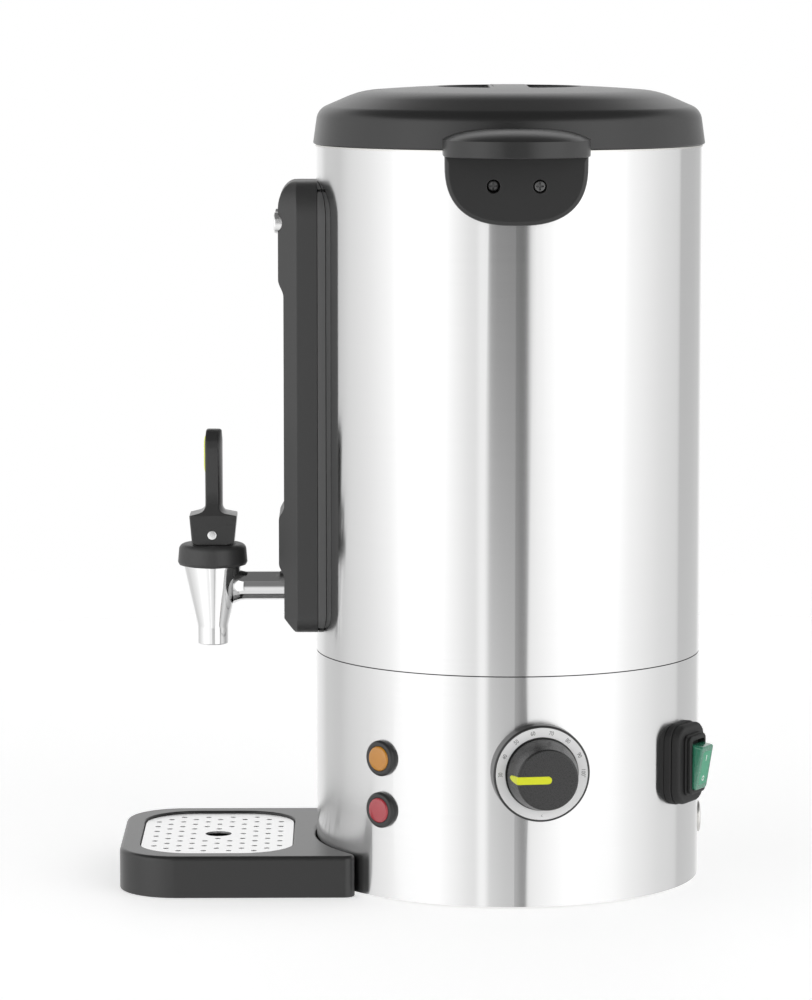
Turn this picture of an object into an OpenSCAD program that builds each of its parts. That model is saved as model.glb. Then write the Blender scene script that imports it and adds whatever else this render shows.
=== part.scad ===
// Hot water urn: a double-walled stainless body with a lid, side handles, a level gauge,
// a lever tap, a drip tray and a control base.
// The origin is on the body's axis at table height. +Z is up, the tap faces -Y and the
// controls face +X. All sizes are in millimetres.

/* [Body] */
// Outside diameter of the stainless shells
body_d = 218; // [206:1:230]
// Thickness of the stainless sheet
sheet_t = 1; // [0.8:0.1:1.2]
// Gap between the table and the base shell
shell_lift = 2; // [1:0.5:4]
// Height of the seam between the two shells
seam_z = 130; // [125:1:136]
// Gap at the seam, filled by a gasket
seam_gap = 0.6; // [0.4:0.1:1]
// Air gap between the outer wall and the tank
air_gap = 5; // [4:0.5:7]
// Height of the tank's floor above the seam
floor_rise = 14; // [12:1:16]
// Corner radius where the tank's floor turns up
tank_corner_r = 8; // [5:1:12]
// Width of the hem under the base shell
hem_w = 5; // [4:0.5:8]
// Radius of the circle that the feet stand on
foot_circle_r = 85; // [70:1:88]
// Diameter of a foot
foot_d = 22; // [16:1:26]
// Length of a vent slot in the bottom plate
vent_l = 24; // [16:1:30]
// Width of a vent slot
vent_w = 4; // [3:0.5:5]

/* [Heating] */
// Radius of the heating plate under the tank
element_r = 72; // [60:1:80]
// Thickness of the heating plate
element_t = 4; // [3:0.5:6]
// Radius of the heating ring's centre line
element_ring_r = 55; // [45:1:57]
// Width and height of the heating ring
element_ring_w = 7; // [5:0.5:9]
// Radius of the safety cutout
cutout_r = 9; // [7:0.5:11]
// Height of the safety cutout
cutout_h = 8; // [6:0.5:10]

/* [Lid] */
// Overall height of the urn
overall_h = 450; // [400:1:500]
// Rise of the lid's top above the tank's rim
lid_rise = 33.3; // [30:0.1:36]
// How far the lid's skirt stands out past the body
lid_overhang = 1.4; // [1:0.1:2]
// Radius of the rounded edge of the lid
lid_edge_r = 18; // [14:1:20]
// Radius of the shallow dome
lid_dome_r = 815; // [700:5:1200]
// Thickness of the lid's moulding
lid_t = 3; // [2.5:0.1:3.5]
// Diameter of the grip well
well_d = 81.5; // [70:0.5:90]
// Depth of the grip well under the middle of the dome
well_depth = 21; // [16:0.5:22]
// Width of the bar that crosses the well
bridge_w = 21.5; // [18:0.5:26]
// Length of the steam slot
steam_l = 15; // [10:0.5:18]
// Width of the steam slot
steam_w = 4; // [3:0.5:5]
// Distance of the steam slot from the axis
steam_reach = 79; // [72:0.5:84]
// Depth of the inner pan below the rim
pan_depth = 12; // [8:0.5:14]
// Thickness of the lid's seal
seal_t = 1.2; // [0.9:0.1:1.3]

/* [Handles] */
// Width of a handle's lip
lip_w = 79.4; // [74:0.1:84]
// Reach of the lip from the body's wall
lip_reach = 44.5; // [38:0.5:50]
// Height of the lip's front band
lip_band_h = 9; // [7.5:0.5:10]
// Rise of the lip's domed top above the band
lip_crown = 6; // [4:0.5:7]
// Corner radius of the lip, seen from above
lip_corner_r = 20; // [14:1:26]
// Depth of the finger pocket in the underside
pocket_depth = 5; // [3:0.5:5]
// Wall around the finger pocket
pocket_wall = 4; // [3:0.5:6]
// Width of the mounting plate
plate_w = 77.4; // [72:0.1:79]
// Height of the mounting plate below the lip
plate_h = 37.4; // [34:0.1:42]
// Stand-off of the plate's face from the wall
plate_t = 8; // [7.5:0.5:10]
// Distance between a handle's two screws
screw_gap = 25; // [20:0.5:30]
// Drop of the screws below the lip
screw_drop = 16; // [12:0.5:20]
// Radius of a screw's head
screw_head_r = 3.4; // [3:0.1:4]
// Radius of a screw's shank
screw_r = 1.9; // [1.5:0.1:2.2]

/* [Gauge column] */
// Width of the column
column_w = 70; // [64:1:76]
// Drop of the column's top below the tank's rim
column_drop = 20.2; // [16:0.1:28]
// Height of the column's foot above the seam
column_rise = 10; // [6:0.5:14]
// Stand-off of the parting groove from the wall, at the column's sides
groove_out = 4.5; // [4:0.5:6]
// Width of the parting groove
groove_w = 0.5; // [0.3:0.1:0.8]
// Stand-off of the cover's face from the wall
cover_out = 18; // [17:0.5:22]
// Depth of the rounded edge of the cover
cover_round_d = 7.4; // [5:0.2:8]
// Width of the rounded edge of the cover
cover_round_w = 8; // [6:0.5:10]
// Wall of the cover
cover_wall = 3.5; // [3:0.1:4]
// Height of the raised pads on the cover
pad_h = 3; // [2:0.5:4]
// Diameter of the gauge glass
glass_d = 8.4; // [8:0.1:8.6]
// Wall of the gauge glass
glass_wall = 1; // [0.8:0.1:1.3]
// Height of the glass's lower end above the column's foot
glass_rise = 59; // [54:0.5:64]
// Drop of the glass's upper end below the column's top
glass_drop = 53.5; // [46:0.5:60]
// Height of the lower pad above the column's foot
low_pad_rise = 34.5; // [32:0.5:38]
// Length of the lower pad
low_pad_l = 36.5; // [30:0.5:40]
// Drop of the upper pad below the column's top
high_pad_drop = 12; // [10:0.5:16]
// Length of the upper pad
high_pad_l = 48.5; // [40:0.5:52]
// Distance of the sight slot from the lower pad
slot_low_gap = 8; // [5:0.5:12]
// Distance of the sight slot from the upper pad
slot_high_gap = 13; // [6:0.5:16]
// Width of the sight slot
slot_w = 13; // [10:0.5:16]
// Drop of the bright screw below the column's top
cap_drop = 23; // [20:0.5:26]
// Diameter of the bright screw's head
cap_d = 12.5; // [11:0.1:14]

/* [Tap] */
// Height of the tap's pipe above the seam
pipe_rise = 36; // [34:0.5:40]
// Distance of the spout from the body's wall
spout_out = 59; // [54:0.5:66]
// Outside diameter of the pipe
pipe_d = 16.6; // [15:0.1:17]
// Bore of the pipe
pipe_bore_d = 9; // [7:0.1:9.5]
// Radius of the cone at its top
cone_top_r = 16.5; // [16:0.1:17.5]
// Radius of the straight spout
spout_r = 8.6; // [8.2:0.1:9.2]
// Bore radius of the spout
spout_bore_r = 6.4; // [5.8:0.1:6.8]
// Height of the cone above the pipe's axis
cone_up = 12; // [11:0.5:14]
// Depth of the cone below the pipe's axis
cone_down = 23; // [20:0.5:25]
// Length of the straight spout
spout_l = 10.3; // [8:0.1:14]
// Wall between the cone and the valve chamber
chamber_wall = 1.7; // [1.4:0.1:2]
// Radius of the opening in the valve seat
seat_r = 5.2; // [4.6:0.1:5.4]
// Radius of the collar at its foot
collar_r = 19.8; // [19:0.1:21]
// Height of the collar
collar_h = 12.2; // [11.5:0.1:14]
// Thickness of the collar's top
collar_top_t = 3; // [2.5:0.1:3.5]
// Radius of the stem
stem_r = 3; // [2.6:0.1:3.2]

/* [Lever] */
// Half width of the flat that the lever stands on, and the lift per radian of tilt
cam_k = 8; // [7:0.5:9]
// Height of the pin above the lever's flat foot
cam_h = 5.5; // [5:0.1:7]
// Largest tilt of the lever, in degrees
tilt_max = 34; // [25:1:34]
// Half width of the lever's block, front to back
block_r = 13.6; // [13:0.1:15]
// Width of the lever's block, side to side
block_w = 23; // [20:0.5:26]
// Height of the paddle's top above the pin
lever_h = 59.7; // [54:0.1:66]
// Thickness of the paddle
paddle_t = 9.7; // [8:0.1:11]
// Width of the paddle
paddle_w = 21; // [18:0.5:24]
// Radius of the lever's pin
pin_r = 2; // [1.6:0.1:2.2]
// Length of the coloured inlay
inlay_l = 21.2; // [16:0.1:24]
// Width of the coloured inlay
inlay_w = 11; // [8:0.5:13]

/* [Dial] */
// Direction of the dial, in degrees from +X towards +Y
dial_angle = 7.25; // [-5:0.25:15]
// Height of the dial's centre
dial_z = 77.5; // [60:0.5:90]
// Diameter of the black skirt
skirt_d = 53.5; // [48:0.5:60]
// Stand-off of the skirt's face from the wall
skirt_out = 8; // [6:0.5:10]
// Outside diameter of the scale ring
scale_d = 51; // [46:0.5:52.5]
// Diameter of the knob at its foot
knob_d = 39; // [34:0.5:42]
// Diameter of the knob's face
knob_face_d = 32.6; // [26:0.1:33.5]
// Height of the knob above the scale ring
knob_h = 19.5; // [16:0.5:24]
// Width of the pointer
pointer_w = 4.2; // [3:0.1:5]
// Radius of the thermostat's shaft
shaft_r = 3; // [2.5:0.1:3.2]

/* [Lamps] */
// Direction of the lamps, in degrees from +X towards +Y
lamp_angle = -41.5; // [-50:0.5:-30]
// Height of the lower lamp
lamp_z = 51.5; // [40:0.5:60]
// Distance between the lamps
lamp_gap = 29; // [24:0.5:34]
// Outside diameter of a bezel
bezel_d = 20; // [18:0.1:22]
// Height of a bezel over the wall
bezel_h = 6.5; // [4:0.1:8]
// Diameter of a lens
lens_d = 13.8; // [12:0.1:14.4]

/* [Switch] */
// Direction of the switch, in degrees from +X towards +Y
switch_angle = 60; // [50:1:70]
// Height of the switch's centre
switch_z = 73; // [60:0.5:90]
// Height of the switch's flange
flange_h = 45.5; // [42:0.5:50]
// Width of the switch's flange
flange_w = 34; // [30:0.5:38]
// Corner radius of the flange
flange_r = 10; // [7:0.5:12]
// Stand-off of the flange's face from the wall
flange_out = 8; // [7:0.5:10]
// Stand-off of the inner frame's face from the wall
frame_out = 12; // [10.5:0.5:13]
// Height of the rocker
rocker_h = 25.4; // [22:0.1:27]
// Width of the rocker
rocker_w = 14.8; // [13:0.1:16]
// Distance of the rocker's face from its pivot
rocker_reach = 10; // [8.5:0.5:11]
// Angle between off and on, in degrees
rocker_travel = 20; // [14:1:20]

/* [Drip tray] */
// Width of the tray
tray_w = 148; // [140:1:156]
// Reach of the tray from the body's wall
tray_reach = 111; // [108:1:120]
// Height of the tray
tray_h = 23.5; // [20:0.5:28]
// Radius of the tray's front corners
tray_corner_r = 33; // [28:1:38]
// Wall of the tray
tray_t = 3; // [2.5:0.1:3.5]
// Width of the grill plate
grill_w = 118; // [110:1:120]
// Depth of the grill plate, front to back
grill_d = 86; // [80:1:88]
// Thickness of the grill plate
grill_t = 1.2; // [1:0.1:2]
// Corner radius of the grill plate
grill_r = 25; // [20:1:30]
// Drop of the grill below the tray's rim
grill_drop = 1.3; // [0.8:0.1:2]
// Distance between rows of holes
hole_pitch = 7.1; // [6.5:0.1:9]
// Diameter of a small hole
hole_d = 3.3; // [2.5:0.1:4]
// Diameter of the finger hole in the middle
finger_d = 18; // [15:0.5:22]

/* [Cable gland] */
// Height of the gland's centre
gland_z = 32; // [24:0.5:40]
// Bore radius of the gland
gland_bore_r = 3.6; // [3:0.1:4.5]

/* [Clearances] */
// Gap between a rigid moving piece and what it rests on
rest_gap = 0.3; // [0.25:0.05:0.4]
// Radial gap of a turning fit
turn_gap = 0.05; // [0.03:0.01:0.08]
// Gap between fixed pieces that lie on a curved wall
seat_gap = 0.1; // [0.05:0.05:0.2]
// Gap between the tray and the body
tray_gap = 0.6; // [0.4:0.1:0.9]
// Side gap around the grill plate
grill_gap = 0.5; // [0.3:0.1:0.8]
// Gap between a handle and the lid's skirt
lid_gap = 1.6; // [1:0.1:2]

/* [Hidden] */

$fn = 96;
over = 1;                                   // how far a cutter runs past the face it opens
far = 400;                                  // longer than any piece
steel = "silver";
bright = "gainsboro";
black = [0.13, 0.13, 0.14];
rubber = [0.08, 0.08, 0.08];
clear_white = [0.9, 0.92, 0.9, 0.6];
lime = [0.8, 0.85, 0.1];
FRONT = -90;                                // direction of the tap, from +X towards +Y

// Body
body_r = body_d / 2;
rim_z = overall_h - lid_rise;
wall_in_r = body_r - sheet_t;
tank_out_r = wall_in_r - air_gap;
tank_in_r = tank_out_r - sheet_t;
floor_z = seam_z + floor_rise;
shell_top_z = seam_z - seam_gap / 2;
wall_foot_z = seam_z + seam_gap / 2;
flange_under_z = rim_z - sheet_t;
plate_z = shell_lift + sheet_t;             // underside of the bottom plate
foot_neck_r = 3;
foot_head_r = 4.5;
foot_head_h = 2;
vent_count = 8;
vent_circle_r = 52;
ring_lap = 12;                              // overlap of the support ring with each shell
tank_bearing_r = tank_out_r - tank_corner_r - 8;

// Lid
lid_r = body_r + lid_overhang;
lid_foot_z = rim_z + rest_gap;
dome_half = (lid_r - lid_edge_r) / (1 - lid_edge_r / lid_dome_r);
dome_angle = asin(dome_half / lid_dome_r);
edge_z = overall_h - lid_dome_r * (1 - cos(dome_angle)) - lid_edge_r * cos(dome_angle);
well_r = well_d / 2;
well_floor_z = overall_h - well_depth;
pan_wall_r = tank_in_r - seal_t - 0.4;
pan_t = 1;
pan_z = rim_z - pan_depth;

// Handles
lip_z = rim_z - 2.7;                        // underside of the lip
band_top_z = lip_z + lip_band_h;
lip_x = body_r + lip_reach;
plate_x = body_r + plate_t;
plate_bottom_z = lip_z - plate_h;
plate_bevel = 2.5;
plate_power = 2.6;                          // exponent of the plate's rounded outline
screw_z = lip_z - screw_drop;
screw_sink = [4, 1];                        // depth of the two heads below the plate's face
screw_head_h = 2.2;
nut_t = 2.3;
nut_af = 7;

// Gauge column
column_foot_z = seam_z + column_rise;
column_top_z = rim_z - column_drop;
column_side_x = sqrt(body_r * body_r - column_w * column_w / 4);
groove_x = column_side_x + groove_out;
cover_x = body_r + cover_out;
cover_edge_x = cover_x - cover_round_d;
tongue_x = body_r + 3.5;
tongue_inset = cover_wall + 0.3;
cover_cavity_x = cover_x - 4.2;
foot_corner_r = 12;
top_corner_r = 20;
glass_r = glass_d / 2;
glass_x = (tongue_x + cover_cavity_x) / 2;
seal_r = (cover_cavity_x - tongue_x) / 2 - 0.1;
glass_foot_z = column_foot_z + glass_rise;
glass_top_z = column_top_z - glass_drop;
seal_lip = 2;
seal_h = 7;
cap_z = column_top_z - cap_drop;
cap_head_h = 2.6;
cap_shank_r = 3;
low_pad_z = column_foot_z + low_pad_rise;
high_pad_z = column_top_z - high_pad_drop - high_pad_l;
slot_foot_z = low_pad_z + low_pad_l + slot_low_gap;
slot_l = high_pad_z - slot_high_gap - slot_foot_z;
fitting_in = 9;                             // reach of the fitting inside the tank
washer_t = 1.5;
tank_nut_t = 5.1;

// Tap
tap_reach = body_r + spout_out;
pipe_z = seam_z + pipe_rise;
pipe_r = pipe_d / 2;
pipe_bore_r = pipe_bore_d / 2;
fitting_r = pipe_r - 0.3;
cone_top_z = pipe_z + cone_up;
cone_foot_z = pipe_z - cone_down;
spout_tip_z = cone_foot_z - spout_l;
seat_z = cone_foot_z + 6;
neck_r = cone_top_r - 2;
neck_h = 6;
collar_foot_z = cone_top_z;
collar_top_z = collar_foot_z + collar_h;
collar_top_r = collar_r - 1.3;
collar_round = 3;
spring_room_r = neck_r - 4;
stem_hole_r = stem_r + 0.4;
cup_r = seat_r + 2;
cup_h = 12;
stem_flange_r = 7;
stem_flange_z = seat_z + 14;
stem_flange_t = 1.5;
spring_r = 6;
spring_wire_r = 0.6;
spring_turns = 6;

// Lever
pin_z = collar_top_z + rest_gap + cam_h;
cam_steps = 6;
eye_r = pin_r + 2.2;
eye_w = 8.6;
lever_slot_w = eye_w + 0.8;
shoulder_r = 5;
shoulder_z = 7.5;
shoulder_turn = 75;                         // degrees of round before the hollow starts
paddle_front = 3.8;                         // how far the paddle stands in front of the pin
pin_head_r = pin_r + 0.7;
pin_head_h = 0.6;
inlay_drop = 4;
inlay_proud = 0.5;
inlay_t = 1.5;

// Dial
skirt_x = body_r + skirt_out;
scale_t = 0.6;
scale_in_r = knob_d / 2 + 0.8;
knob_x = skirt_x + 0.5;
knob_rim_h = 3;
knob_edge = 2;
inlay_depth = 1;
inlay_rise = 0.3;
bushing_r = 5;
shaft_end_x = knob_x + 11;
shaft_flat = shaft_r * 0.6;
thermostat_w = 32;
thermostat_l = 24;
thermostat_x = body_r - 3;

// Lamps
bezel_r = bezel_d / 2;
lens_r = lens_d / 2;
barrel_r = lens_r + 0.9;
barrel_l = 14;
lens_dome = 1.3;

// Switch
gasket_t = 3;
frame_margin = 2.4;
pocket_side_gap = 0.4;
pocket_h = rocker_h + 3;
pocket_w = rocker_w + 2 * pocket_side_gap;
pocket_deep = 6;
frame_r = 2.5;
case_h = pocket_h + 2 * frame_margin - 1;
case_w = pocket_w + 2 * frame_margin - 1;
case_l = 24;
pivot_x = body_r + 6;
pivot_r = 1.2;
pivot_l = 1.4;
rocker_back = 3;

// Drip tray
tray_front_y = -(body_r + tray_reach);
tray_hug_r = body_r + tray_gap;
grill_y = tray_front_y + 11.5 + grill_d / 2;
grill_z = tray_h - grill_drop - grill_t;
ledge_z = grill_z - rest_gap;
ledge_w = 3.5;
basin_floor_z = 4;
hole_margin = 5.5;

// Cable gland
gland_barrel_r = gland_bore_r + 4.4;
gland_nut_af = 2 * gland_barrel_r + 4;
gland_nut_t = 4.8;
gland_nut_x = wall_in_r - 1.2;
gland_in = 9;                               // reach of the barrel inside the wall
gland_cap_x = body_r + 5;
gland_cap_l = 8.5;
gland_cap_round = 2.5;

// ---------- Helpers ----------

// Points of an arc about c, from angle a0 to a1 in n steps
function arc(c, r, a0, a1, n = 8) =
    [for (i = [0 : n]) let (a = a0 + (a1 - a0) * i / n) [c[0] + r * cos(a), c[1] + r * sin(a)]];

// A tube between two heights
module ring(r_out, r_in, z0, z1) {
    translate([0, 0, z0]) difference() {
        cylinder(r = r_out, h = z1 - z0);
        translate([0, 0, -over]) cylinder(r = r_in, h = z1 - z0 + 2 * over);
    }
}

// Turns a piece to a direction around the body: its own +X then points outwards
module facing(angle) {
    rotate([0, 0, angle]) children();
}

// A round bar along X
module bar_x(x0, x1, r) {
    translate([x0, 0, 0]) rotate([0, 90, 0]) cylinder(r = r, h = x1 - x0);
}

// An outline in Y and Z, given thickness along X
module slab_x(x0, x1) {
    translate([x0, 0, 0]) rotate([90, 0, 90]) linear_extrude(x1 - x0) children();
}

// An outline in X and Z, given thickness along Y
module slab_y(w) {
    translate([0, w / 2, 0]) rotate([90, 0, 0]) linear_extrude(w) children();
}

// A turned piece whose axis is X
module turned_x() {
    rotate([0, 90, 0]) rotate_extrude() children();
}

// A rectangle with round corners about the origin
module round_rect(w, h, r) {
    square([w - 2 * r, h], center = true);
    square([w, h - 2 * r], center = true);
    for (x = [-1, 1], y = [-1, 1]) translate([x * (w / 2 - r), y * (h / 2 - r)]) circle(r = r);
}

// The space inside the body's wall, with a small gap, for pieces that seat on it
module body_space(gap) {
    translate([0, 0, -over]) cylinder(r = body_r + gap, h = overall_h + 2 * over, $fn = 360);
}

// A six-sided nut on the X axis
module nut_x(x0, x1, across) {
    translate([x0, 0, 0]) rotate([0, 90, 0]) cylinder(d = across / cos(30), h = x1 - x0, $fn = 6);
}

// ---------- Body ----------

module base_shell() {
    color(steel) difference() {
        union() {
            ring(body_r, wall_in_r, shell_lift, shell_top_z);
            ring(body_r, body_r - hem_w, shell_lift, plate_z);
        }
        facing(dial_angle) translate([0, 0, dial_z]) bar_x(0, far, bushing_r + seat_gap);
        for (z = [lamp_z, lamp_z + lamp_gap])
            facing(lamp_angle) translate([0, 0, z]) bar_x(0, far, barrel_r + seat_gap);
        facing(switch_angle) translate([0, 0, switch_z])
            slab_x(0, far) square([case_w + 2 * seat_gap, case_h + 2 * seat_gap], center = true);
        facing(-FRONT) translate([0, 0, gland_z]) bar_x(0, far, gland_barrel_r + seat_gap);
    }
}

module outer_wall() {
    color(steel) difference() {
        ring(body_r, wall_in_r, wall_foot_z, flange_under_z);
        facing(FRONT) translate([0, 0, pipe_z]) bar_x(0, far, fitting_r + seat_gap);
        facing(FRONT) translate([0, 0, cap_z]) bar_x(0, far, cap_shank_r + seat_gap);
        for (side = [0, 180], y = [-1, 1])
            facing(side) translate([0, y * screw_gap / 2, screw_z]) bar_x(0, far, screw_r + seat_gap);
    }
}

module inner_tank() {
    c = tank_out_r - tank_corner_r;
    color(steel) difference() {
        rotate_extrude() polygon(concat(
            [[0, floor_z]],
            arc([c, floor_z + tank_corner_r], tank_corner_r, -90, 0),
            [[tank_out_r, flange_under_z], [body_r, flange_under_z], [body_r, rim_z], [tank_in_r, rim_z]],
            arc([c, floor_z + tank_corner_r], tank_corner_r - sheet_t, 0, -90),
            [[0, floor_z + sheet_t]]));
        facing(FRONT) translate([0, 0, pipe_z]) bar_x(0, far, fitting_r + seat_gap);
    }
}

module support_ring() {
    r = wall_in_r - seat_gap;
    color(steel) {
        ring(r, r - sheet_t, seam_z - ring_lap, floor_z);
        ring(r - sheet_t, tank_bearing_r, floor_z - sheet_t, floor_z);
    }
}

module seam_gasket() {
    color(rubber) ring(body_r - 0.3, wall_in_r, shell_top_z, wall_foot_z);
}

module bottom_plate() {
    color(steel) difference() {
        translate([0, 0, plate_z]) cylinder(r = wall_in_r - seat_gap, h = sheet_t);
        for (i = [0 : 3]) rotate([0, 0, 45 + 90 * i]) translate([foot_circle_r, 0, 0])
            cylinder(r = foot_neck_r, h = far, center = true);
        for (i = [0 : vent_count - 1]) rotate([0, 0, 360 / vent_count * i])
            translate([vent_circle_r, 0, 0]) linear_extrude(far, center = true)
                round_rect(vent_l, vent_w, vent_w / 2 - 0.01);
    }
}

module feet() {
    color(rubber) for (i = [0 : 3]) rotate([0, 0, 45 + 90 * i]) translate([foot_circle_r, 0, 0]) {
        cylinder(r = foot_d / 2, h = plate_z);
        cylinder(r = foot_neck_r, h = plate_z + sheet_t + foot_head_h / 2);
        translate([0, 0, plate_z + sheet_t]) cylinder(r1 = foot_head_r, r2 = foot_neck_r, h = foot_head_h);
    }
}

// ---------- Heating ----------

module element_plate() {
    w = element_ring_w / 2;
    color(bright) difference() {
        union() {
            translate([0, 0, floor_z - element_t]) cylinder(r = element_r, h = element_t);
            rotate_extrude() translate([element_ring_r, floor_z - element_t]) polygon([
                [-w, 0], [-w * 0.7, -element_ring_w], [w * 0.7, -element_ring_w], [w, 0]]);
        }
        // the two ends of the heating ring leave a gap
        translate([0, -far / 2 - element_ring_r / 2, floor_z - element_t - element_ring_w / 2 - over / 2])
            cube([4, far, element_ring_w + over], center = true);
    }
}

module element_terminals() {
    top = floor_z - element_t - element_ring_w;
    color(bright) for (x = [-8, 8]) translate([x, -sqrt(element_ring_r * element_ring_r - 64), top - 12]) {
        cylinder(r = 1.5, h = 12);
        translate([-3, -0.4, -8]) cube([6, 0.8, 8]);
    }
}

module thermal_cutout() {
    top = floor_z - element_t;
    color(black) translate([0, 0, top - cutout_h]) cylinder(r = cutout_r, h = cutout_h);
    color(bright) for (x = [-4, 4])
        translate([x, 0, top - cutout_h - 4]) cube([0.8, 6, 8], center = true);
}

module cable_gland() {
    color(black) facing(-FRONT) translate([0, 0, gland_z]) difference() {
        union() {
            bar_x(wall_in_r - gland_in, gland_cap_x - over, gland_barrel_r);
            nut_x(gland_nut_x - gland_nut_t, gland_nut_x, gland_nut_af);
            difference() {
                nut_x(body_r - over, gland_cap_x, gland_nut_af);
                translate([0, 0, -gland_z]) body_space(seat_gap);
            }
            translate([gland_cap_x, 0, 0]) turned_x() polygon(concat(
                [[0, -over], [gland_barrel_r + 1, -over]],
                arc([gland_barrel_r + 1 - gland_cap_round, gland_cap_l - gland_cap_round], gland_cap_round, 0, 90, 5),
                [[0, gland_cap_l]]));
        }
        bar_x(0, far, gland_bore_r);
    }
}

// ---------- Lid ----------

// Outline of the lid's outside, or of a surface that lies a distance below it
function lid_line(depth) = concat(
    arc([0, overall_h - lid_dome_r], lid_dome_r - depth, 90, 90 - dome_angle, 6),
    arc([lid_r - lid_edge_r, edge_z], lid_edge_r - depth, 90 - dome_angle, 0, 10));

function flip(points) = [for (i = [len(points) - 1 : -1 : 0]) points[i]];

module lid_solid() {
    rotate_extrude() polygon(concat(lid_line(0), [[lid_r, lid_foot_z], [0, lid_foot_z]]));
}

module lid() {
    well_out_r = well_r + lid_t;
    hollow_w = bridge_w - 2 * lid_t;
    color(black) difference() {
        union() {
            rotate_extrude() polygon(concat(
                lid_line(0), [[lid_r, lid_foot_z], [lid_r - lid_t, lid_foot_z]], flip(lid_line(lid_t))));
            intersection() {
                lid_solid();
                translate([0, 0, well_floor_z - lid_t]) cylinder(r = well_out_r, h = far);
            }
        }
        // the two halves of the grip well, either side of the bridge
        difference() {
            translate([0, 0, well_floor_z]) cylinder(r = well_r, h = far);
            translate([-far / 2, -bridge_w / 2, 0]) cube([far, bridge_w, 2 * far]);
        }
        // the bridge is hollow from below
        translate([-well_r + lid_t, -hollow_w / 2, well_floor_z - lid_t - over])
            cube([2 * (well_r - lid_t), hollow_w, well_depth - 2]);
        // steam slot near the front
        translate([0, -steam_reach, 0]) linear_extrude(far * 2) rotate(90)
            round_rect(steam_l, steam_w, steam_w / 2 - 0.01);
    }
}

module lid_liner() {
    color(steel) difference() {
        union() {
            ring(lid_r - lid_t - seat_gap, pan_wall_r, lid_foot_z, lid_foot_z + pan_t);
            ring(pan_wall_r + pan_t, pan_wall_r, lid_foot_z, lid_foot_z + pan_t);
            ring(pan_wall_r, pan_wall_r - pan_t, pan_z, lid_foot_z + pan_t);
            translate([0, 0, pan_z]) cylinder(r = pan_wall_r - pan_t / 2, h = pan_t);
        }
        translate([0, -steam_reach, 0]) linear_extrude(far * 2) rotate(90)
            round_rect(steam_l, steam_w, steam_w / 2 - 0.01);
    }
}

module lid_seal() {
    color(clear_white) ring(pan_wall_r + seal_t, pan_wall_r, pan_z + 2, pan_z + pan_depth - 3);
}

// ---------- Handles ----------

module lip_outline(inset) {
    r = lip_corner_r - inset;
    c = [lip_x - lip_corner_r, lip_w / 2 - lip_corner_r];
    polygon(concat(
        [[body_r / 2 + inset, -lip_w / 2 + inset]],
        arc([c[0], -c[1]], r, -90, 0),
        arc([c[0], c[1]], r, 0, 90),
        [[body_r / 2 + inset, lip_w / 2 - inset]]));
}

// Lower half of the plate: a rounded outline between an ellipse and a rectangle
module plate_outline(inset) {
    a = plate_w / 2 - inset;
    b = plate_h - 3.4 - inset;
    top = lip_z - 3.4;
    polygon(concat(
        [[-a, band_top_z - 4]],
        [for (t = [180 : 7.5 : 360]) [
            a * sign(cos(t)) * pow(abs(cos(t)), 2 / plate_power),
            top - b * pow(abs(sin(t)), 2 / plate_power)]],
        [[a, band_top_z - 4]]));
}

module handle() {
    crown_r = (lip_w * lip_w / 4) / (2 * lip_crown);
    crown_x = body_r + 3;
    crown_z = band_top_z + lip_crown;
    color(black) difference() {
        union() {
            translate([0, 0, lip_z]) linear_extrude(lip_band_h) lip_outline(0);
            intersection() {
                translate([0, 0, lip_z]) linear_extrude(lip_band_h + lip_crown) lip_outline(0);
                translate([crown_x, 0, crown_z - crown_r]) sphere(r = crown_r);
            }
            hull() {
                slab_x(body_r / 2, plate_x - plate_bevel) plate_outline(0);
                slab_x(body_r / 2, plate_x) plate_outline(plate_bevel);
            }
        }
        // finger pocket under the lip
        intersection() {
            translate([0, 0, lip_z - over]) linear_extrude(pocket_depth + over) lip_outline(pocket_wall);
            translate([plate_x + pocket_wall - plate_bevel, -far / 2, 0]) cube([far, far, 2 * far]);
        }
        body_space(seat_gap);
        translate([0, 0, flange_under_z - rest_gap]) cylinder(r = lid_r + lid_gap, h = far);
        for (i = [0, 1]) translate([0, (i - 0.5) * screw_gap, screw_z]) {
            bar_x(0, far, screw_r + seat_gap);
            bar_x(plate_x - screw_sink[i] - screw_head_h, far, screw_head_r + 0.3);
        }
    }
}

module handle_right() {
    handle();
}

module handle_left() {
    facing(180) handle();
}

module handle_screws() {
    color(steel) for (side = [0, 180], i = [0, 1])
        facing(side) translate([0, (i - 0.5) * screw_gap, screw_z]) {
            seat = plate_x - screw_sink[i] - screw_head_h;
            bar_x(tank_out_r + 1.2, seat + screw_head_h / 2, screw_r);
            bar_x(seat, seat + screw_head_h, screw_head_r);
        }
}

module handle_nuts() {
    wall_x = sqrt(wall_in_r * wall_in_r - pow(screw_gap / 2 + nut_af * 0.58, 2));
    color(steel) for (side = [0, 180], y = [-1, 1])
        facing(side) translate([0, y * screw_gap / 2, screw_z]) difference() {
            nut_x(wall_x - nut_t - seat_gap, wall_x - seat_gap, nut_af);
            bar_x(0, far, screw_r);
        }
}

// ---------- Gauge column ----------

module column_outline(inset) {
    w = column_w / 2;
    low = foot_corner_r;
    high = top_corner_r;
    polygon(concat(
        arc([w - low, column_foot_z + low], low - inset, -90, 0),
        arc([w - high, column_top_z - high], high - inset, 0, 90),
        arc([high - w, column_top_z - high], high - inset, 90, 180),
        arc([low - w, column_foot_z + low], low - inset, 180, 270)));
}

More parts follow.
